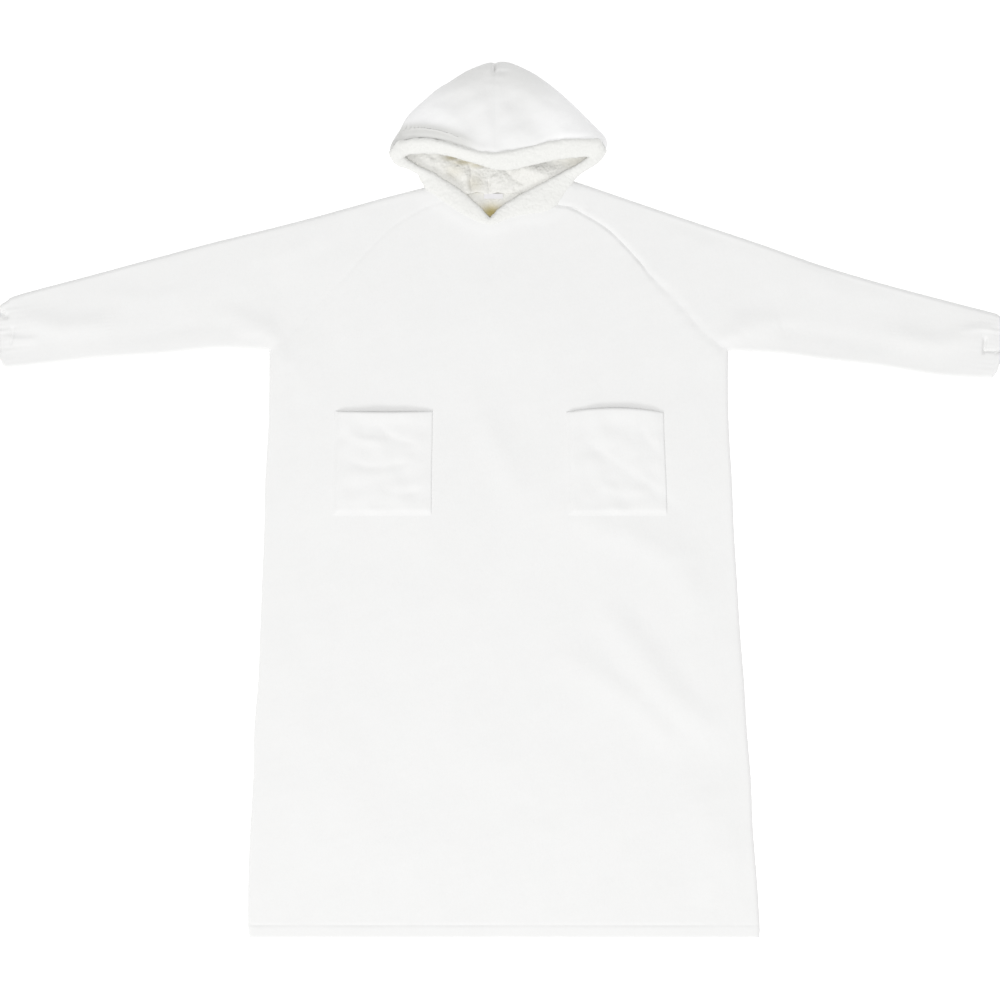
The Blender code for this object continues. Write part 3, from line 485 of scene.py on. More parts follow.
def cloth_height(plan):
    """Detail of the front layer over its solid: swell, creases, seams and gathers."""
    swell = 0.5 * waves(plan, 230, 1) + 0.14 * waves(plan, 80, 2) + 0.04 * waves(plan, 28, 3)
    creases = crease_height(plan, FRONT_CREASES + SLEEVE_CREASES)
    from_neck = near_line(plan, FRONT_NECK_LINE)[0]
    neck_rise = NECK_RISE * bell(from_neck, 14)
    seams = seam_height(plan, FRONT_SEAMS, FRONT_SEAM_DEPTHS)
    return swell + creases + neck_rise + seams + gather_height(plan)


def hood_detail(plan, side, growth):
    """How far a hood half stands out from its solid: puffs, its centre seam, and folds above the brim."""
    from_seam = np.abs(plan[:, 0] - HOOD_CENTRE_X)
    puff = 0.9 * waves(plan, 95, 11) + 0.45 * waves(plan, 42, 12) + 0.12 * waves(plan, 18, 13)
    puff *= eased(from_seam / 16)
    near_crown = eased((plan[:, 1] - 615) / 60) if side > 0 else np.ones(len(plan))
    deepest = CROWN_GROOVE * bell(plan[:, 1] - 689, 12)
    seam = (0.08 + 1.2 * near_crown + deepest) * bell(from_seam, 2.2)
    pucker = 0.35 * near_crown * ripple(plan[:, 1], 17, 14) * bell(from_seam - 6, 5)
    total = puff * eased(edge_distance(plan)[0] / 24) - seam + pucker
    if side > 0:
        total += crease_height(plan, HOOD_CREASES)
        total -= 1.8 * bell(near_line(plan, BRIM_LINE)[0], 3.5)
    return total * (growth if side < 0 else 1)


def brim_fold(plan):
    """Moves of the cloth at the fold over the brim's right: it hangs a little over a lower strip."""
    spread, side, place, _ = near_line(plan, smooth(BRIM_FOLD, 4))
    ends = eased(place / 0.06) * eased((1 - place) / 0.35)
    over = np.where(side > 0, bell(spread, 7), 0) * ends
    strip = np.where(side > 0, 0, eased(spread / 4)) * ends
    strip *= bell(np.maximum(0, spread - 14), 10)
    tucked = 1.6 + 1.8 * eased((plan[:, 0] - 30) / 40)
    tucked *= bell(near_line(plan, BRIM_LINE)[0], 4)
    return np.column_stack([np.zeros(len(plan)), -2 * over - tucked, 1.6 * over - 2.2 * strip])


def painted_hood_shade_and_light(plan):
    """Painted shade on the hood: darker in the shadow under that fold and at the crown; below 0 is painted
    light on its sides.
    """
    spread, side, place, _ = near_line(plan, smooth(BRIM_FOLD, 4))
    from_fold = np.where(side > 0, bell(spread, 7), 1)
    below = near_line(plan, BRIM_LINE)[0] < 22
    strip = np.where((side > 0) | below, from_fold, 0) * eased((1 - place) / 0.25)
    crown = 0.3 * eased((plan[:, 1] - 625) / 60)
    lighter = 0.55 * eased((np.abs(plan[:, 0] - HOOD_CENTRE_X) - 40) / 80)
    return np.maximum(strip, crown) - lighter * (1 - strip)


def under_band(plan):
    """Moves of the cloth at the front neck: its edge runs a little under the pile of the band."""
    away = np.array(OPENING_CENTRE) - plan
    reach = 2.2 + 3 * eased((np.abs(plan[:, 0] - OPENING_CENTRE[0]) - 60) / 30)
    reach *= bell(near_line(plan, FRONT_NECK_LINE)[0], 5)
    return away / np.linalg.norm(away, axis=1)[:, None] * reach[:, None]


def laid(plan, side, seam=0):
    """Outer and inner points of the laid cloth. Its side is 1 on the front layer and -1 on the back."""
    plan = np.array(plan, float)
    shape = plan.shape[:-1]
    plan = plan.reshape(-1, 2)
    distance, inward = edge_distance(plan)
    for hand in ("right", "left"):
        seam_line = SEAM_LINES[hand, side]
        at_underarm = np.linalg.norm(plan - seam_line[0], axis=1) < 0.6
        inward[at_underarm] = (seam_line[1] - seam_line[0]) / np.linalg.norm(seam_line[1] - seam_line[0])
    lean = np.clip((EDGE_RADIUS - distance) / EDGE_RADIUS, 0, 1)
    rise = np.sqrt(1 - lean**2)
    height = EDGE_HEIGHT + side * (EDGE_RADIUS * rise + seam * lean)
    if side > 0:
        height += fold_height(plan) * eased(distance / 30) + cloth_height(plan) * eased(distance / 14)
    else:
        height -= np.minimum(0, seam_height(plan, BACK_SEAMS, BACK_SEAM_DEPTHS)) * eased(distance / 8)
    outer = np.column_stack([plan, height])
    if side > 0:
        outer[:, :2] += under_band(plan)
    inner = np.column_stack([plan + WALL * lean[:, None] * inward, height - side * WALL * rise])
    return outer.reshape(*shape, 3), inner.reshape(*shape, 3)


def between(start_side, end_side, start_row, end_row, across, up):
    """Points inside four plan lines: across runs between the sides, up from the start row to the end row."""
    a = across[..., None]
    b = up[..., None]
    low = (1 - a) * (1 - b) * start_row(0) + a * (1 - b) * start_row(1)
    flat = low + (1 - a) * b * end_row(0) + a * b * end_row(1)
    sides = (1 - a) * start_side(up) + a * end_side(up)
    return sides + (1 - b) * start_row(across) + b * end_row(across) - flat


def by_share(points):
    return lambda shares: along(points, shares)


def seam_shares(points, shares):
    """Shares of a seam's length: close together in the rounded edge it starts from, then as given."""
    total = length(points)
    steps = [distance / total for distance in EDGE_STEPS]
    return np.array(steps + [steps[-1] + share * (1 - steps[-1]) for share in shares])


SEAM_LINES = {
    ("right", 1): smooth(RIGHT_RAGLAN, 10),
    ("left", 1): smooth(LEFT_RAGLAN, 10),
    ("right", -1): smooth(RIGHT_BACK_RAGLAN, 10),
    ("left", -1): smooth(LEFT_BACK_RAGLAN, 10),
}


def seam_points(hand, side):
    """The points that both pieces at a raglan seam share, from the underarm to the neck."""
    shares = seam_shares(SEAM_LINES[hand, side], FRONT_SHARES if side > 0 else BACK_SHARES)
    return along(SEAM_LINES[hand, side], shares)


def neck_points(hand, side):
    """The points shared along the neck from the raglan seam to the side of the neck."""
    start = seam_points(hand, side)[-1]
    if side > 0:
        middle = len(FRONT_NECK_LINE) // 2
        neck = FRONT_NECK_LINE[: middle + 1] if hand == "right" else FRONT_NECK_LINE[middle:][::-1]
        cut = np.linalg.norm(neck - start, axis=1).argmin()
        rest = np.vstack([neck[:cut], start])
    else:
        rest = np.array([HOOD_EDGE[0] if hand == "right" else HOOD_EDGE[-1], start])
    return along(rest, seam_shares(rest, NECK_SHARES))[::-1]


def panel(rows, columns, side, neck_row):
    """Plan grid of a body layer: side edges, raglan seams above them, and the neck as its last row."""
    right = np.column_stack([side_edge("right", rows), rows])
    left = np.column_stack([side_edge("left", rows), rows])
    gap = SEAM / 2 if side > 0 else 0.8 * SEAM
    right_seam = moved_aside(seam_points("right", side), -gap)
    left_seam = moved_aside(seam_points("left", side), gap)
    right = np.vstack([right[:-1], right_seam])
    left = np.vstack([left[:-1], left_seam])
    columns = np.array(columns)
    share = (columns - columns[0]) / (columns[-1] - columns[0])
    even = np.linspace(0, 1, len(columns))
    under = len(rows) - 1
    grid = []
    for i in range(len(right)):
        above = max(0, i - under) / (len(right) - 1 - under)
        spread = eased((i - under - len(EDGE_STEPS) + 1) / len(FRONT_SHARES))
        a = ((1 - spread) * share + spread * even)[:, None]
        row = (1 - a) * right[i] + a * left[i]
        neck = neck_row(a[:, 0])
        chord = (1 - a) * neck_row(np.array([0])) + a * neck_row(np.array([1]))
        grid.append(row + above**1.5 * (neck - chord))
    return np.array(grid)


def front_neck_row(shares):
    right = neck_points("right", 1)[0]
    left = neck_points("left", 1)[0]
    first = np.linalg.norm(FRONT_NECK_LINE - right, axis=1).argmin()
    last = np.linalg.norm(FRONT_NECK_LINE - left, axis=1).argmin()
    row = np.vstack([right, FRONT_NECK_LINE[first + 1 : last], left])
    return along(moved_aside(row, -SEAM / 2), shares)


def back_neck_row(shares):
    row = np.array([(-88, BACK_NECK_Y - SEAM / 2), (88, BACK_NECK_Y - SEAM / 2)])
    return along(row, shares)


def sleeve_grid(hand, side, stations):
    """Plan grid of one layer of a sleeve: a row for each station, from the raglan seam to the gather."""
    sign = -1 if hand == "right" else 1
    seam = np.vstack([seam_points(hand, side), neck_points(hand, side)[1:]])
    seam = moved_aside(seam, -sign * SEAM / 2)
    low = smooth(RIGHT_UNDERARM if hand == "right" else LEFT_UNDERARM)
    high = smooth(RIGHT_SLEEVE_TOP if hand == "right" else LEFT_SLEEVE_TOP)
    first = running_length(seam)
    first = first / first[-1]
    rows = []
    for up in stations:
        width = np.linalg.norm(along(high, up) - along(low, up))
        steps = np.array(EDGE_STEPS) / width
        count = len(first) - 2 * len(steps)
        middle = steps[-1] + (1 - 2 * steps[-1]) * np.arange(1, count + 1) / (count + 1)
        level = np.concatenate([steps, middle, 1 - steps[::-1]])
        blend = eased(np.array(up / 0.25))
        a = (1 - blend) * first + blend * level
        if up == 0:
            rows.append(along(seam, first))
        else:
            a = a[:, None]
            bulge = along(seam, a[:, 0]) - (1 - a) * seam[0] - a * seam[-1]
            rows.append((1 - a) * along(low, up) + a * along(high, up) + (1 - up) ** 20 * bulge)
    return np.array(rows)


def across(rings, side, count):
    """Outer and inner points across a narrow tube at rings of x, y of the lower edge, y of the upper edge."""
    outer = []
    inner = []
    for x, bottom, top in rings:
        width = top - bottom
        steps = np.array(EDGE_STEPS)
        middle = np.linspace(steps[-1], width - steps[-1], count - 2 * len(steps) + 2)[1:-1]
        level = np.concatenate([steps, middle, width - steps[::-1]])
        distance = np.minimum(level, width - level)
        lean = np.clip((EDGE_RADIUS - distance) / EDGE_RADIUS, 0, 1)
        rise = np.sqrt(1 - lean**2)
        inward = np.where(level < width / 2, 1, -1)
        height = EDGE_HEIGHT + side * EDGE_RADIUS * rise
        plan = np.column_stack([np.full(count, x), bottom + level])
        if side > 0:
            height += cloth_height(plan) * eased(distance / 14)
        outer.append(np.column_stack([plan, height]))
        sunk = bottom + level + WALL * lean * inward
        inner.append(np.column_stack([np.full(count, x), sunk, height - side * WALL * rise]))
    return np.array(outer), np.array(inner)


def nearest_index(points, target):
    return int(np.linalg.norm(points - np.array(target), axis=1).argmin())


def hood_lines(hand):
    """Plan lines round one half of the hood: side of the neck to mouth corner, then corner to crown."""
    turn = 1 if hand == "right" else -1
    half = HOOD_LINE[::turn]
    half = half[: nearest_index(half, (HOOD_CENTRE_X, CROWN_Y)) + 1].copy()
    corner = nearest_index(half, CORNERS[hand])
    brim = BRIM_LINE[::turn]
    brim = brim[: nearest_index(brim, (HOOD_CENTRE_X, BRIM_MIDDLE_Y)) + 1].copy()
    seam_x = HOOD_CENTRE_X - turn * SEAM / 2
    half[-1, 0] = seam_x
    brim[-1, 0] = seam_x
    return half[: corner + 1], half[corner:], brim


def hood_height(plan, growth, side):
    """Outer height and outward direction of the hood over plan points."""
    distance, inward = edge_distance(plan)
    edge = EDGE_HEIGHT + growth * (HOOD_EDGE_HEIGHT - EDGE_HEIGHT)
    if side > 0:
        radius = np.full(len(plan), HOOD_TOP_RADIUS)
        rise = HOOD_TOP_HEIGHT - edge
    else:
        radius = EDGE_RADIUS + growth * (HOOD_UNDER_RADIUS - EDGE_RADIUS)
        rise = edge
    lean = np.clip((radius - distance) / radius, 0, 1)
    up = np.sqrt(1 - lean**2)
    height = edge + side * rise * up
    outward = np.column_stack([-inward * (lean / radius)[:, None], side * up / rise])
    return height, outward / np.linalg.norm(outward, axis=1)[:, None]


def hood_half(hand):
    """The two grids of a hood half, from the back neck under and over the crown to the brim."""
    side_line, edge_line, brim = hood_lines(hand)
    seam_x = edge_line[-1, 0]
    neck = np.vstack([neck_points(hand, -1)[::-1], (seam_x, BACK_NECK_Y)])
    neck = neck + (0, SEAM)
    centre_under = np.array([(seam_x, BACK_NECK_Y + SEAM), edge_line[-1]])
    centre_top = np.array([edge_line[-1], (seam_x, brim[-1, 1])])
    corner_edge = np.array([edge_line[0], brim[0]])
    run = running_length(neck) / length(neck)
    rest = np.arange(1, 31) / 30
    neck_shares = np.concatenate([run[:-1], run[-2] + (1 - run[-2]) * rest])
    grid_outer = []
    grid_inner = []
    for side, rows in ((-1, HOOD_UNDER_ROWS), (1, HOOD_TOP_ROWS)):
        start, end = (neck, edge_line) if side < 0 else (edge_line, brim)
        edges = (side_line, centre_under) if side < 0 else (corner_edge, centre_top)
        for up in rows:
            if side < 0 and up == 0:
                outer, inner = laid(along(neck, neck_shares), -1)
                grid_outer.append(outer)
                grid_inner.append(inner)
                continue
            steps = np.array(HOOD_EDGE_STEPS) / (length(end) * up + length(start) * (1 - up))
            count = len(neck_shares) - len(steps)
            level = np.concatenate([steps, steps[-1] + (1 - steps[-1]) * np.arange(1, count + 1) / count])
            blend = eased(np.array(up / 0.3)) if side < 0 else 1
            a = (1 - blend) * neck_shares + blend * level
            plan = between(*[by_share(points) for points in (*edges, start, end)], a, np.full(len(a), up))
            growth = eased(np.full(len(a), up / 0.5)) if side < 0 else np.ones(len(a))
            height, outward = hood_height(plan, growth, side)
            outward[-1, 0] = 0
            outward[-1] /= np.linalg.norm(outward[-1])
            outer = np.column_stack([plan, height])
            outer += outward * hood_detail(plan, side, growth)[:, None]
            if side > 0:
                outer += brim_fold(plan)
            outer[:, 2] = np.maximum(0, outer[:, 2])
            grid_outer.append(outer)
            grid_inner.append(np.column_stack([plan, height]) - WALL * outward)
    return np.array(grid_outer), np.array(grid_inner)


def apply_modifiers(obj):
    bpy.context.view_layer.update()
    made = bpy.data.meshes.new_from_object(obj.evaluated_get(bpy.context.evaluated_depsgraph_get()))
    made.name = obj.name
    obj.modifiers.clear()
    obj.data = made


def points_of(obj):
    """Points of a piece in millimetres, and its unit normals."""
    count = len(obj.data.vertices)
    points = np.empty(count * 3, np.float32)
    normals = np.empty(count * 3, np.float32)
    obj.data.vertices.foreach_get("co", points)
    obj.data.vertex_normals.foreach_get("vector", normals)
    return points.reshape(-1, 3).astype(float) / MM, normals.reshape(-1, 3).astype(float)


def set_points(obj, points):
    obj.data.vertices.foreach_set("co", (points * MM).astype(np.float32).ravel())
    obj.data.update()


def add_layer(obj, name, values):
    layer = obj.data.attributes.new(name, "FLOAT", "POINT")
    layer.data.foreach_set("value", values.astype(np.float32))


def new_object(name, data):
    obj = bpy.data.objects.new(name, data)
    bpy.context.scene.collection.objects.link(obj)
    return obj


def set_inputs(node, **inputs):
    for name, value in inputs.items():
        node.inputs[name.replace("_", " ")].default_value = value


# Scene: camera, light and floor.

camera = new_object("camera", bpy.data.cameras.new("camera"))
camera.data.lens = CAMERA_LENS
camera.data.sensor_width = 36
camera.data.clip_end = 60
camera.location = (0, 0, CAMERA_HEIGHT)
bpy.context.scene.camera = camera
bpy.context.scene.view_settings.view_transform = "Standard"

world = bpy.data.worlds.new("studio")
world.use_nodes = True
set_inputs(world.node_tree.nodes["Background"], Color=(1, 1, 1, 1), Strength=WORLD_STRENGTH)
bpy.context.scene.world = world


def area_light(name, place, size, power):
    lamp = bpy.data.lights.new(name, "AREA")
    lamp.shape = "DISK"
    lamp.size = size
    lamp.energy = power
    obj = new_object(name, lamp)
    obj.location = place
    obj.rotation_euler = (-Vector(place)).to_track_quat("-Z", "Y").to_euler()


area_light("key", (-2.6, -7.6, 5), 2.4, 245)
area_light("overhead", (0, -0.8, 7), 2, 186)

floor_mesh = bpy.data.meshes.new("floor")
floor_mesh.from_pydata([(-20, -20, 0), (20, -20, 0), (20, 20, 0), (-20, 20, 0)], [], [(0, 1, 2, 3)])
floor = new_object("floor", floor_mesh)
floor.location.z = -0.0005


# Materials.


def node_of(material, kind, **inputs):
    made = material.node_tree.nodes.new(kind)
    set_inputs(made, **inputs)
    return made


def link(output, entry):
    entry.id_data.links.new(output, entry)


def new_material(name, roughness):
    material = bpy.data.materials.new(name)
    material.use_nodes = True
    shader = material.node_tree.nodes["Principled BSDF"]
    set_inputs(shader, Roughness=roughness, Specular_IOR_Level=0.25)
    return material, shader


def noise_node(material, coords, scale, detail, roughness, stretch=(1, 1, 1)):
    mapping = node_of(material, "ShaderNodeMapping", Scale=stretch)
    link(coords.outputs["Object"], mapping.inputs["Vector"])
    made = node_of(material, "ShaderNodeTexNoise", Scale=scale, Detail=detail, Roughness=roughness)
    link(mapping.outputs["Vector"], made.inputs["Vector"])
    return made


def shade_ramp(material, source, low, high, start=0.35, end=0.65):
    ramp = node_of(material, "ShaderNodeValToRGB")
    for element, place, colour in zip(ramp.color_ramp.elements, (start, end), (low, high)):
        element.position = place
        element.color = (*colour, 1)
    link(source, ramp.inputs["Fac"])
    return ramp


def bump(material, shader, layers):
    """Stacks bumps: height source, distance in metres, strength."""
    last = None
    for source, distance, strength in layers:
        made = node_of(material, "ShaderNodeBump", Distance=distance, Strength=strength)
        link(source, made.inputs["Height"])
        if last is not None:
            link(last.outputs["Normal"], made.inputs["Normal"])
        last = made
    link(last.outputs["Normal"], shader.inputs["Normal"])


def colour_by(material, shader, ramp, attribute, colour, clamped=True):
    """Mixes the ramp's colour with another by a piece's own attribute."""
    amount = node_of(material, "ShaderNodeAttribute")
    amount.attribute_name = attribute
    mix = node_of(material, "ShaderNodeMix")
    mix.data_type = "RGBA"
    mix.clamp_factor = clamped
    link(amount.outputs["Fac"], mix.inputs["Factor"])
    link(ramp.outputs["Color"], mix.inputs["A"])
    mix.inputs["B"].default_value = (*colour, 1)
    link(mix.outputs["Result"], shader.inputs["Base Color"])


def scaled(colour, factor):
    return tuple(min(1, channel * factor) for channel in colour)


def plush_material():
    material, shader = new_material("plush", 0.9)
    coords = node_of(material, "ShaderNodeTexCoord")
    nap = noise_node(material, coords, 34, 4, 0.6, (1, 0.7, 1))
    pile = noise_node(material, coords, 620, 4, 0.7)
    tufts = noise_node(material, coords, 170, 3, 0.6, (1, 0.55, 1))
    ramp = shade_ramp(material, nap.outputs["Fac"], scaled(PLUSH_COLOUR, 0.995), scaled(PLUSH_COLOUR, 1.004))
    # Painted shade and light on the hood, mixed in by its attribute.
    colour_by(material, shader, ramp, "turned", PAINTED_HOOD_SHADE_COLOUR, clamped=False)
    set_inputs(shader, Sheen_Weight=0.12, Sheen_Roughness=0.6)
    bump(material, shader, (
        (nap.outputs["Fac"], 0.0025, 0.08),
        (tufts.outputs["Fac"], 0.0012, 0.35),
        (pile.outputs["Fac"], 0.0008, 0.35),
    ))
    return material


def sherpa_material(name, colour, painted_deep_shade=None):
    material, shader = new_material(name, 0.95)
    coords = node_of(material, "ShaderNodeTexCoord")
    curls = noise_node(material, coords, 260, 4, 0.65)
    fibres = noise_node(material, coords, 1100, 3, 0.7)
    ramp = shade_ramp(material, curls.outputs["Fac"], scaled(colour, 0.97), scaled(colour, 1.01))
    # Painted warm shade in the lining's hollows, mixed in by its attribute.
    if painted_deep_shade:
        colour_by(material, shader, ramp, "painted_deep_shade", painted_deep_shade)
    else:
        link(ramp.outputs["Color"], shader.inputs["Base Color"])
    set_inputs(shader, Sheen_Weight=0.15, Sheen_Roughness=0.6)
    bump(material, shader, ((curls.outputs["Fac"], 0.0012, 0.35), (fibres.outputs["Fac"], 0.0006, 0.35)))
    return material


def label_material():
    material, shader = new_material("label_tape", 0.55)
    coords = node_of(material, "ShaderNodeTexCoord")
    weave = node_of(material, "ShaderNodeTexWave", Scale=900, Distortion=0.6)
    link(coords.outputs["Object"], weave.inputs["Vector"])
    ramp = shade_ramp(material, weave.outputs["Fac"], scaled(LABEL_COLOUR, 0.97), LABEL_COLOUR, 0, 1)
    link(ramp.outputs["Color"], shader.inputs["Base Color"])
    bump(material, shader, ((weave.outputs["Fac"], 0.0002, 0.4),))
    return material


def floor_material():
    material, shader = new_material("floor", 0.9)
    set_inputs(shader, Base_Color=(*FLOOR_COLOUR, 1), Emission_Color=(1, 1, 1, 1))
    set_inputs(shader, Emission_Strength=FLOOR_EMISSION)
    return material


PLUSH = plush_material()
SHERPA = sherpa_material("sherpa", SHERPA_COLOUR)
SHERPA_LINING = sherpa_material("sherpa_lining", LINING_COLOUR, PAINTED_LINING_SHADE_COLOUR)
LABEL = label_material()
floor.data.materials.append(floor_material())


# Pieces of plush.


def cloth(name, outer, inner, ring=False, lined=False):
    """A shell over two grids of points: the outer face and the rims down to the inner face, or both faces."""
    rows, columns = outer.shape[:2]
    shift = rows * columns
    points = np.vstack([outer.reshape(-1, 3), inner.reshape(-1, 3)])
    last = columns if ring else columns - 1
    cells = []
    for i in range(rows - 1):
        for j in range(last):
            k = (j + 1) % columns
            cells.append((i * columns + j, i * columns + k, (i + 1) * columns + k, (i + 1) * columns + j))
    faces = list(cells)
    if lined:
        faces += [tuple(shift + corner for corner in cell[::-1]) for cell in cells]
    for j in range(last):
        k = (j + 1) % columns
        for a, b in ((k, j), ((rows - 1) * columns + j, (rows - 1) * columns + k)):
            faces.append((a, b, shift + b, shift + a))
    if not ring:
        for i in range(rows - 1):
            low_edge, high_edge = i * columns, (i + 1) * columns
            faces.append((low_edge, high_edge, shift + high_edge, shift + low_edge))
            low_edge, high_edge = low_edge + columns - 1, high_edge + columns - 1
            faces.append((high_edge, low_edge, shift + low_edge, shift + high_edge))
    along_row = outer[1:, 1:] - outer[1:, :-1]
    along_column = outer[1:, 1:] - outer[:-1, 1:]
    if (np.cross(along_row, along_column) * (outer - inner)[1:, 1:]).sum() < 0:
        faces = [face[::-1] for face in faces]
    mesh = bpy.data.meshes.new(name)
    mesh.from_pydata((points * MM).tolist(), [], faces)
    bm = bmesh.new()
    bm.from_mesh(mesh)
    bmesh.ops.delete(bm, geom=[v for v in bm.verts if not v.link_faces], context="VERTS")
    bm.to_mesh(mesh)
    bm.free()
    mesh.shade_smooth()
    mesh.set_sharp_from_angle(angle=1)
    return new_object(name, mesh)


def dress(obj, material, slot, *nodes):
    obj.data.materials.clear()
    obj.data.materials.append(material)
    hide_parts(*nodes)
    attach(obj, "root")
    return obj


def side_columns(step):
    left, right = PANEL_SIDES
    inside = np.arange(left + EDGE_RADIUS + step, right - EDGE_RADIUS - step / 2, step)
    return np.concatenate([left + np.array(EDGE_STEPS), inside, right - np.array(EDGE_STEPS)[::-1]])


def add_hem(outer):
    """The turned hem: thicker up to its stitch line, where the cloth is drawn in, and rounded off below."""
    depth = outer[..., 1] - HEM_Y
    drawn = bell(depth - HEM_DEPTH, 2.2) * (0.7 + 0.4 * ripple(outer[..., 0], 230, 8))
    turned = eased((HEM_DEPTH - depth) / 3)
    rounding = 1 - np.sqrt(1 - np.clip(1 - depth / 3, 0, 1) ** 2)
    puckers = 0.22 * ripple(outer[..., 0], 9, 6) * bell(depth - HEM_DEPTH, 9)
    fade = np.minimum(1, np.arange(outer.shape[1]) / 7)
    fade = np.minimum(fade, fade[::-1])
    outer[..., 2] += fade * (HEM_EXTRA * turned - HEM_GROOVE * drawn - 3 * rounding + puckers)


def front_cloth():
    rows = np.concatenate([HEM_ROWS, np.arange(HEM_Y + 29, 236, PANEL_STEP), [238]])
    plan = panel(rows, side_columns(PANEL_STEP), 1, front_neck_row)
    outer, inner = laid(plan, 1, SEAM / 2)
    add_hem(outer)
    return cloth("front_cloth", outer, inner)


def back_cloth():
    rows = np.concatenate([HEM_ROWS[::2], np.arange(HEM_Y + 31, 236, 9), [238]])
    plan = panel(rows, side_columns(9), -1, back_neck_row)
    outer, inner = laid(plan, -1, SEAM / 2)
    return cloth("back_cloth", outer, inner, lined=True)


def sleeve_cloth(hand):
    gather = RIGHT_GATHER if hand == "right" else LEFT_GATHER
    layers = []
    for side in (1, -1):
        arm = laid(sleeve_grid(hand, side, SLEEVE_STATIONS), side)
        end = across(along(gather, np.linspace(0, 1, 4)), side, arm[0].shape[1])
        layers.append((np.concatenate([arm[0], end[0]]), np.concatenate([arm[1], end[1]])))
    return tube("sleeve_cloth_" + hand, *layers)


def tube(name, front, back, lined=False):
    outer = np.concatenate([front[0], back[0][:, -2:0:-1]], axis=1)
    inner = np.concatenate([front[1], back[1][:, -2:0:-1]], axis=1)
    return cloth(name, outer, inner, ring=True, lined=lined)


def cuff_cloth(hand):
    rings = along(RIGHT_CUFF if hand == "right" else LEFT_CUFF, np.linspace(0, 1, 30))
    return tube("cuff_cloth_" + hand, across(rings, 1, 44), across(rings, -1, 30), lined=True)


def pocket_cloth(hand):
    """A patch pocket on the front's surface, pressed down round three sides and open at its mouth."""
    layout = POCKETS[hand]
    left, right = PANEL_SIDES
    low, high = layout["y"]
    first, last = [(x - left) / (right - left) for x in layout["x"]]
    near_edge = np.array([0, 0.004, 0.01, 0.018])
    level = np.concatenate([near_edge, np.linspace(0.028, 0.972, 52), 1 - near_edge[::-1]])
    across_share, up = np.meshgrid(level, level)
    y = low + (high - low) * up
    share = first + (last - first) * across_share
    x = (1 - share) * side_edge("right", y) + share * side_edge("left", y)
    plan = np.stack([x, y], axis=-1)
    base = laid(plan, 1)[0]
    bowed = 1 - (2 * across_share - 1) ** 2
    width, height = layout["x"][1] - layout["x"][0], high - low
    from_side = np.minimum(across_share, 1 - across_share) * width
    from_seam = np.minimum(from_side, up * height)
    from_mouth = (1 - up) * height
    from_edge = np.minimum(from_seam, from_mouth)
    rolled = np.minimum((1 - across_share) * width, from_mouth)
    plain = np.minimum(across_share * width, up * height)
    rise = np.sqrt(1 - np.clip(1 - rolled / POCKET_EDGES["rolled"], 0, 1) ** 2)
    rise *= eased(0.12 + 0.88 * plain / POCKET_EDGES["plain"])
    belly = POCKET_BELLY * bowed * up + layout["lift"] * bowed**0.5 * eased((up - 0.84) / 0.16)
    uneven = 0.35 * waves(plan.reshape(-1, 2), 38, 30).reshape(x.shape) * eased(from_seam / 10)
    stitched = 0.45 * bell(from_seam - 5, 1.6) * eased(from_mouth / 4)
    wrinkles = crease_height(plan.reshape(-1, 2), POCKET_CREASES).reshape(x.shape) * eased(from_edge / 8)
    base[..., 1] += (layout["arch"] * bowed - layout["drop"]) * np.maximum(0, up - 0.75) * 4
    outer = base.copy()
    outer[..., 2] += belly + POCKET_WALL * rise - 0.2 * (1 - rise) + uneven + wrinkles - stitched
    inner = base.copy()
    inner[..., 2] += belly - 0.3
    return cloth("pocket_cloth_" + hand, outer, inner, lined=True)


FRONT = dress(front_cloth(), PLUSH, "plush", "front_panel")
BACK = dress(back_cloth(), PLUSH, "plush", "back_panel")
for hand in ("right", "left"):
    dress(sleeve_cloth(hand), PLUSH, "plush", "sleeve_" + hand)
    dress(cuff_cloth(hand), PLUSH, "plush", "cuff_" + hand)
    dress(pocket_cloth(hand), PLUSH, "plush", "pocket_" + hand)
    hood_outer, hood_inner = hood_half(hand)
    hood = cloth("hood_cloth_" + hand, hood_outer, hood_inner, lined=True)
    places = points_of(hood)[0]
    # Painted shade and light on the hood's upper side: the fold's shadow strip, the crown, and its sides.
    add_layer(hood, "turned", painted_hood_shade_and_light(places[:, :2]) * (places[:, 2] > HOOD_FOLD_HEIGHT))
    dress(hood, PLUSH, "plush", "hood_" + hand)


# Sherpa: the band round the opening and the lining inside.


def fine_copy(name, node, voxel, smoothing):
    """An even fine mesh on a CAD node's own form."""
    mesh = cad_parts[node].data.copy()
    mesh.name = name
    obj = new_object(name, mesh)
    even = obj.modifiers.new("even", "REMESH")
    even.mode = "VOXEL"
    even.voxel_size = voxel * MM
    soften = obj.modifiers.new("soften", "SMOOTH")
    soften.iterations = smoothing
    finer = obj.modifiers.new("finer", "SUBSURF")
    finer.levels = 1
    finer.render_levels = 1
    apply_modifiers(obj)
    obj.data.shade_smooth()
    return obj


def curls(obj, size, height, seed, swell, fuller=0):
    """Raises soft round tufts of pile along the normals, fuller at the two corners of the opening."""
    noise.seed_set(seed)
    points, normals = points_of(obj)
    shift = Vector((seed * 31.7, seed * 17.3, seed * 5.1))
    raised = np.empty(len(points))
    for k, point in enumerate(points):
        place = Vector(point) / size + shift
        place += 0.45 * noise.noise_vector(place * 1.3)
        near = noise.voronoi(place)[0][0]
        raised[k] = height * (0.75 - near) + 0.35 * height * noise.noise(place * 0.35)
    raised += swell + fuller * eased((np.abs(points[:, 0] + 3.5) - 138) / 24)
    points += normals * raised[:, None]
    set_points(obj, points)


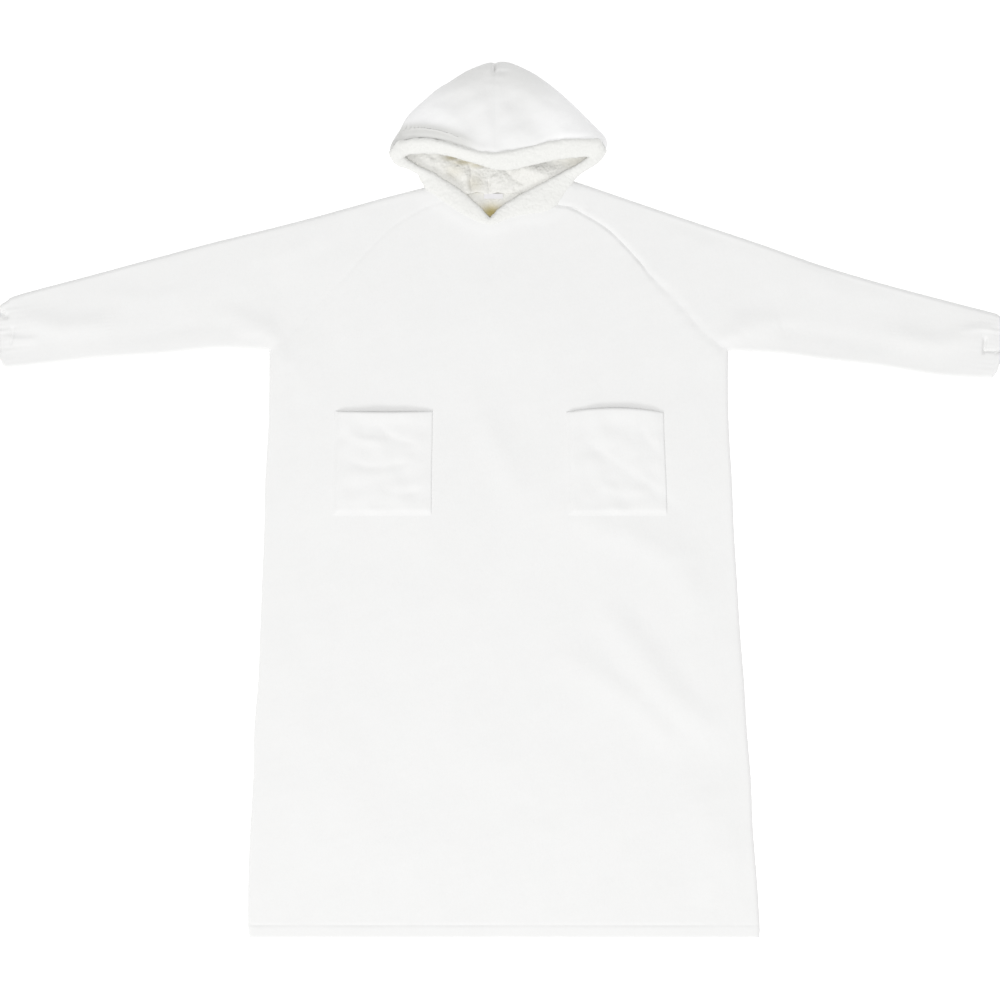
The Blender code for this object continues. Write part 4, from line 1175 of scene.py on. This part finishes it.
def puff(obj):
    """Raises the lining in soft folds inside the hood."""
    points, normals = points_of(obj)
    weight = eased(normals[:, 2] / 0.5)
    rise = 3 + 1.6 * waves(points[:, :2], 60, 50) + crease_height(points[:, :2], LINING_CREASES)
    points[:, 2] += weight * rise
    away = points[:, :2] - (-5, 560)
    reach = eased((np.abs(away[:, 0]) - 70) / 50) * eased((575 - points[:, 1]) / 20)
    away /= np.linalg.norm(away, axis=1)[:, None]
    points[:, :2] += away * (np.where(away[:, 0] < 0, 19, 9) * reach)[:, None]
    points[:, 2] += 3 * reach
    points[:, 1] -= (3 + 0.9 * waves(points[:, :1], 30, 51)) * eased((503 - points[:, 1]) / 9)
    set_points(obj, points)


def paint_lining_shade(obj):
    """Paints warm shade on the lining where it lies in shadow, as an amount for each point."""
    points, _ = points_of(obj)
    depth = np.zeros(len(points))
    for x, y, half_width, half_height, amount in PAINTED_SHADE_SPOTS:
        away = ((points[:, 0] - x) / half_width) ** 2 + ((points[:, 1] - y) / half_height) ** 2
        depth = np.maximum(depth, amount * np.exp(-away))
    add_layer(obj, "painted_deep_shade", depth)


def open_chin(obj):
    """Draws the band down at the point of its V, where it lies open."""
    points, _ = points_of(obj)
    away = (points[:, :2] - CHIN) / (15, 13)
    points[:, 1] -= CHIN_DROP * np.exp(-(away**2).sum(axis=1))
    set_points(obj, points)


BAND = fine_copy("band_sherpa", "hood_trim", 2, 6)
curls(BAND, 4.6, 1.2, 1, 2.2, 1.6)
open_chin(BAND)
dress(BAND, SHERPA, "sherpa", "hood_trim")

LINING = fine_copy("lining_sherpa", "hood_lining", 1.8, 4)
puff(LINING)
curls(LINING, 5, 1.4, 2, 0.9)
# Painted warm shade in the lining's shadowed hollows.
paint_lining_shade(LINING)
dress(LINING, SHERPA_LINING, "sherpa", "hood_lining")

NECK = fine_copy("neck_sherpa", "neck_lining", 1.2, 2)
curls(NECK, 5, 1, 3, 0.9)
# Painted warm shade in the shadow at the bottom of the V.
paint_lining_shade(NECK)
dress(NECK, SHERPA_LINING, "sherpa", "neck_lining")


def label():
    """The blank label: a soft tape, a little bowed, on its solid."""
    low, high = [np.array(corner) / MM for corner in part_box("neck_label")]
    x, y = np.meshgrid(np.linspace(low[0], high[0], 24), np.linspace(low[1], high[1], 10))
    bow = 0.9 * np.sin((x - low[0]) / (high[0] - low[0]) * math.pi) + 0.25 * np.sin(x / 5 + y / 7)
    outer = np.stack([x, y, high[2] + 2.4 + bow], axis=-1)
    return cloth("blank_label", outer, outer - (0, 0, 0.6), lined=True)


TAPE = dress(label(), LABEL, "label_tape", "neck_label")
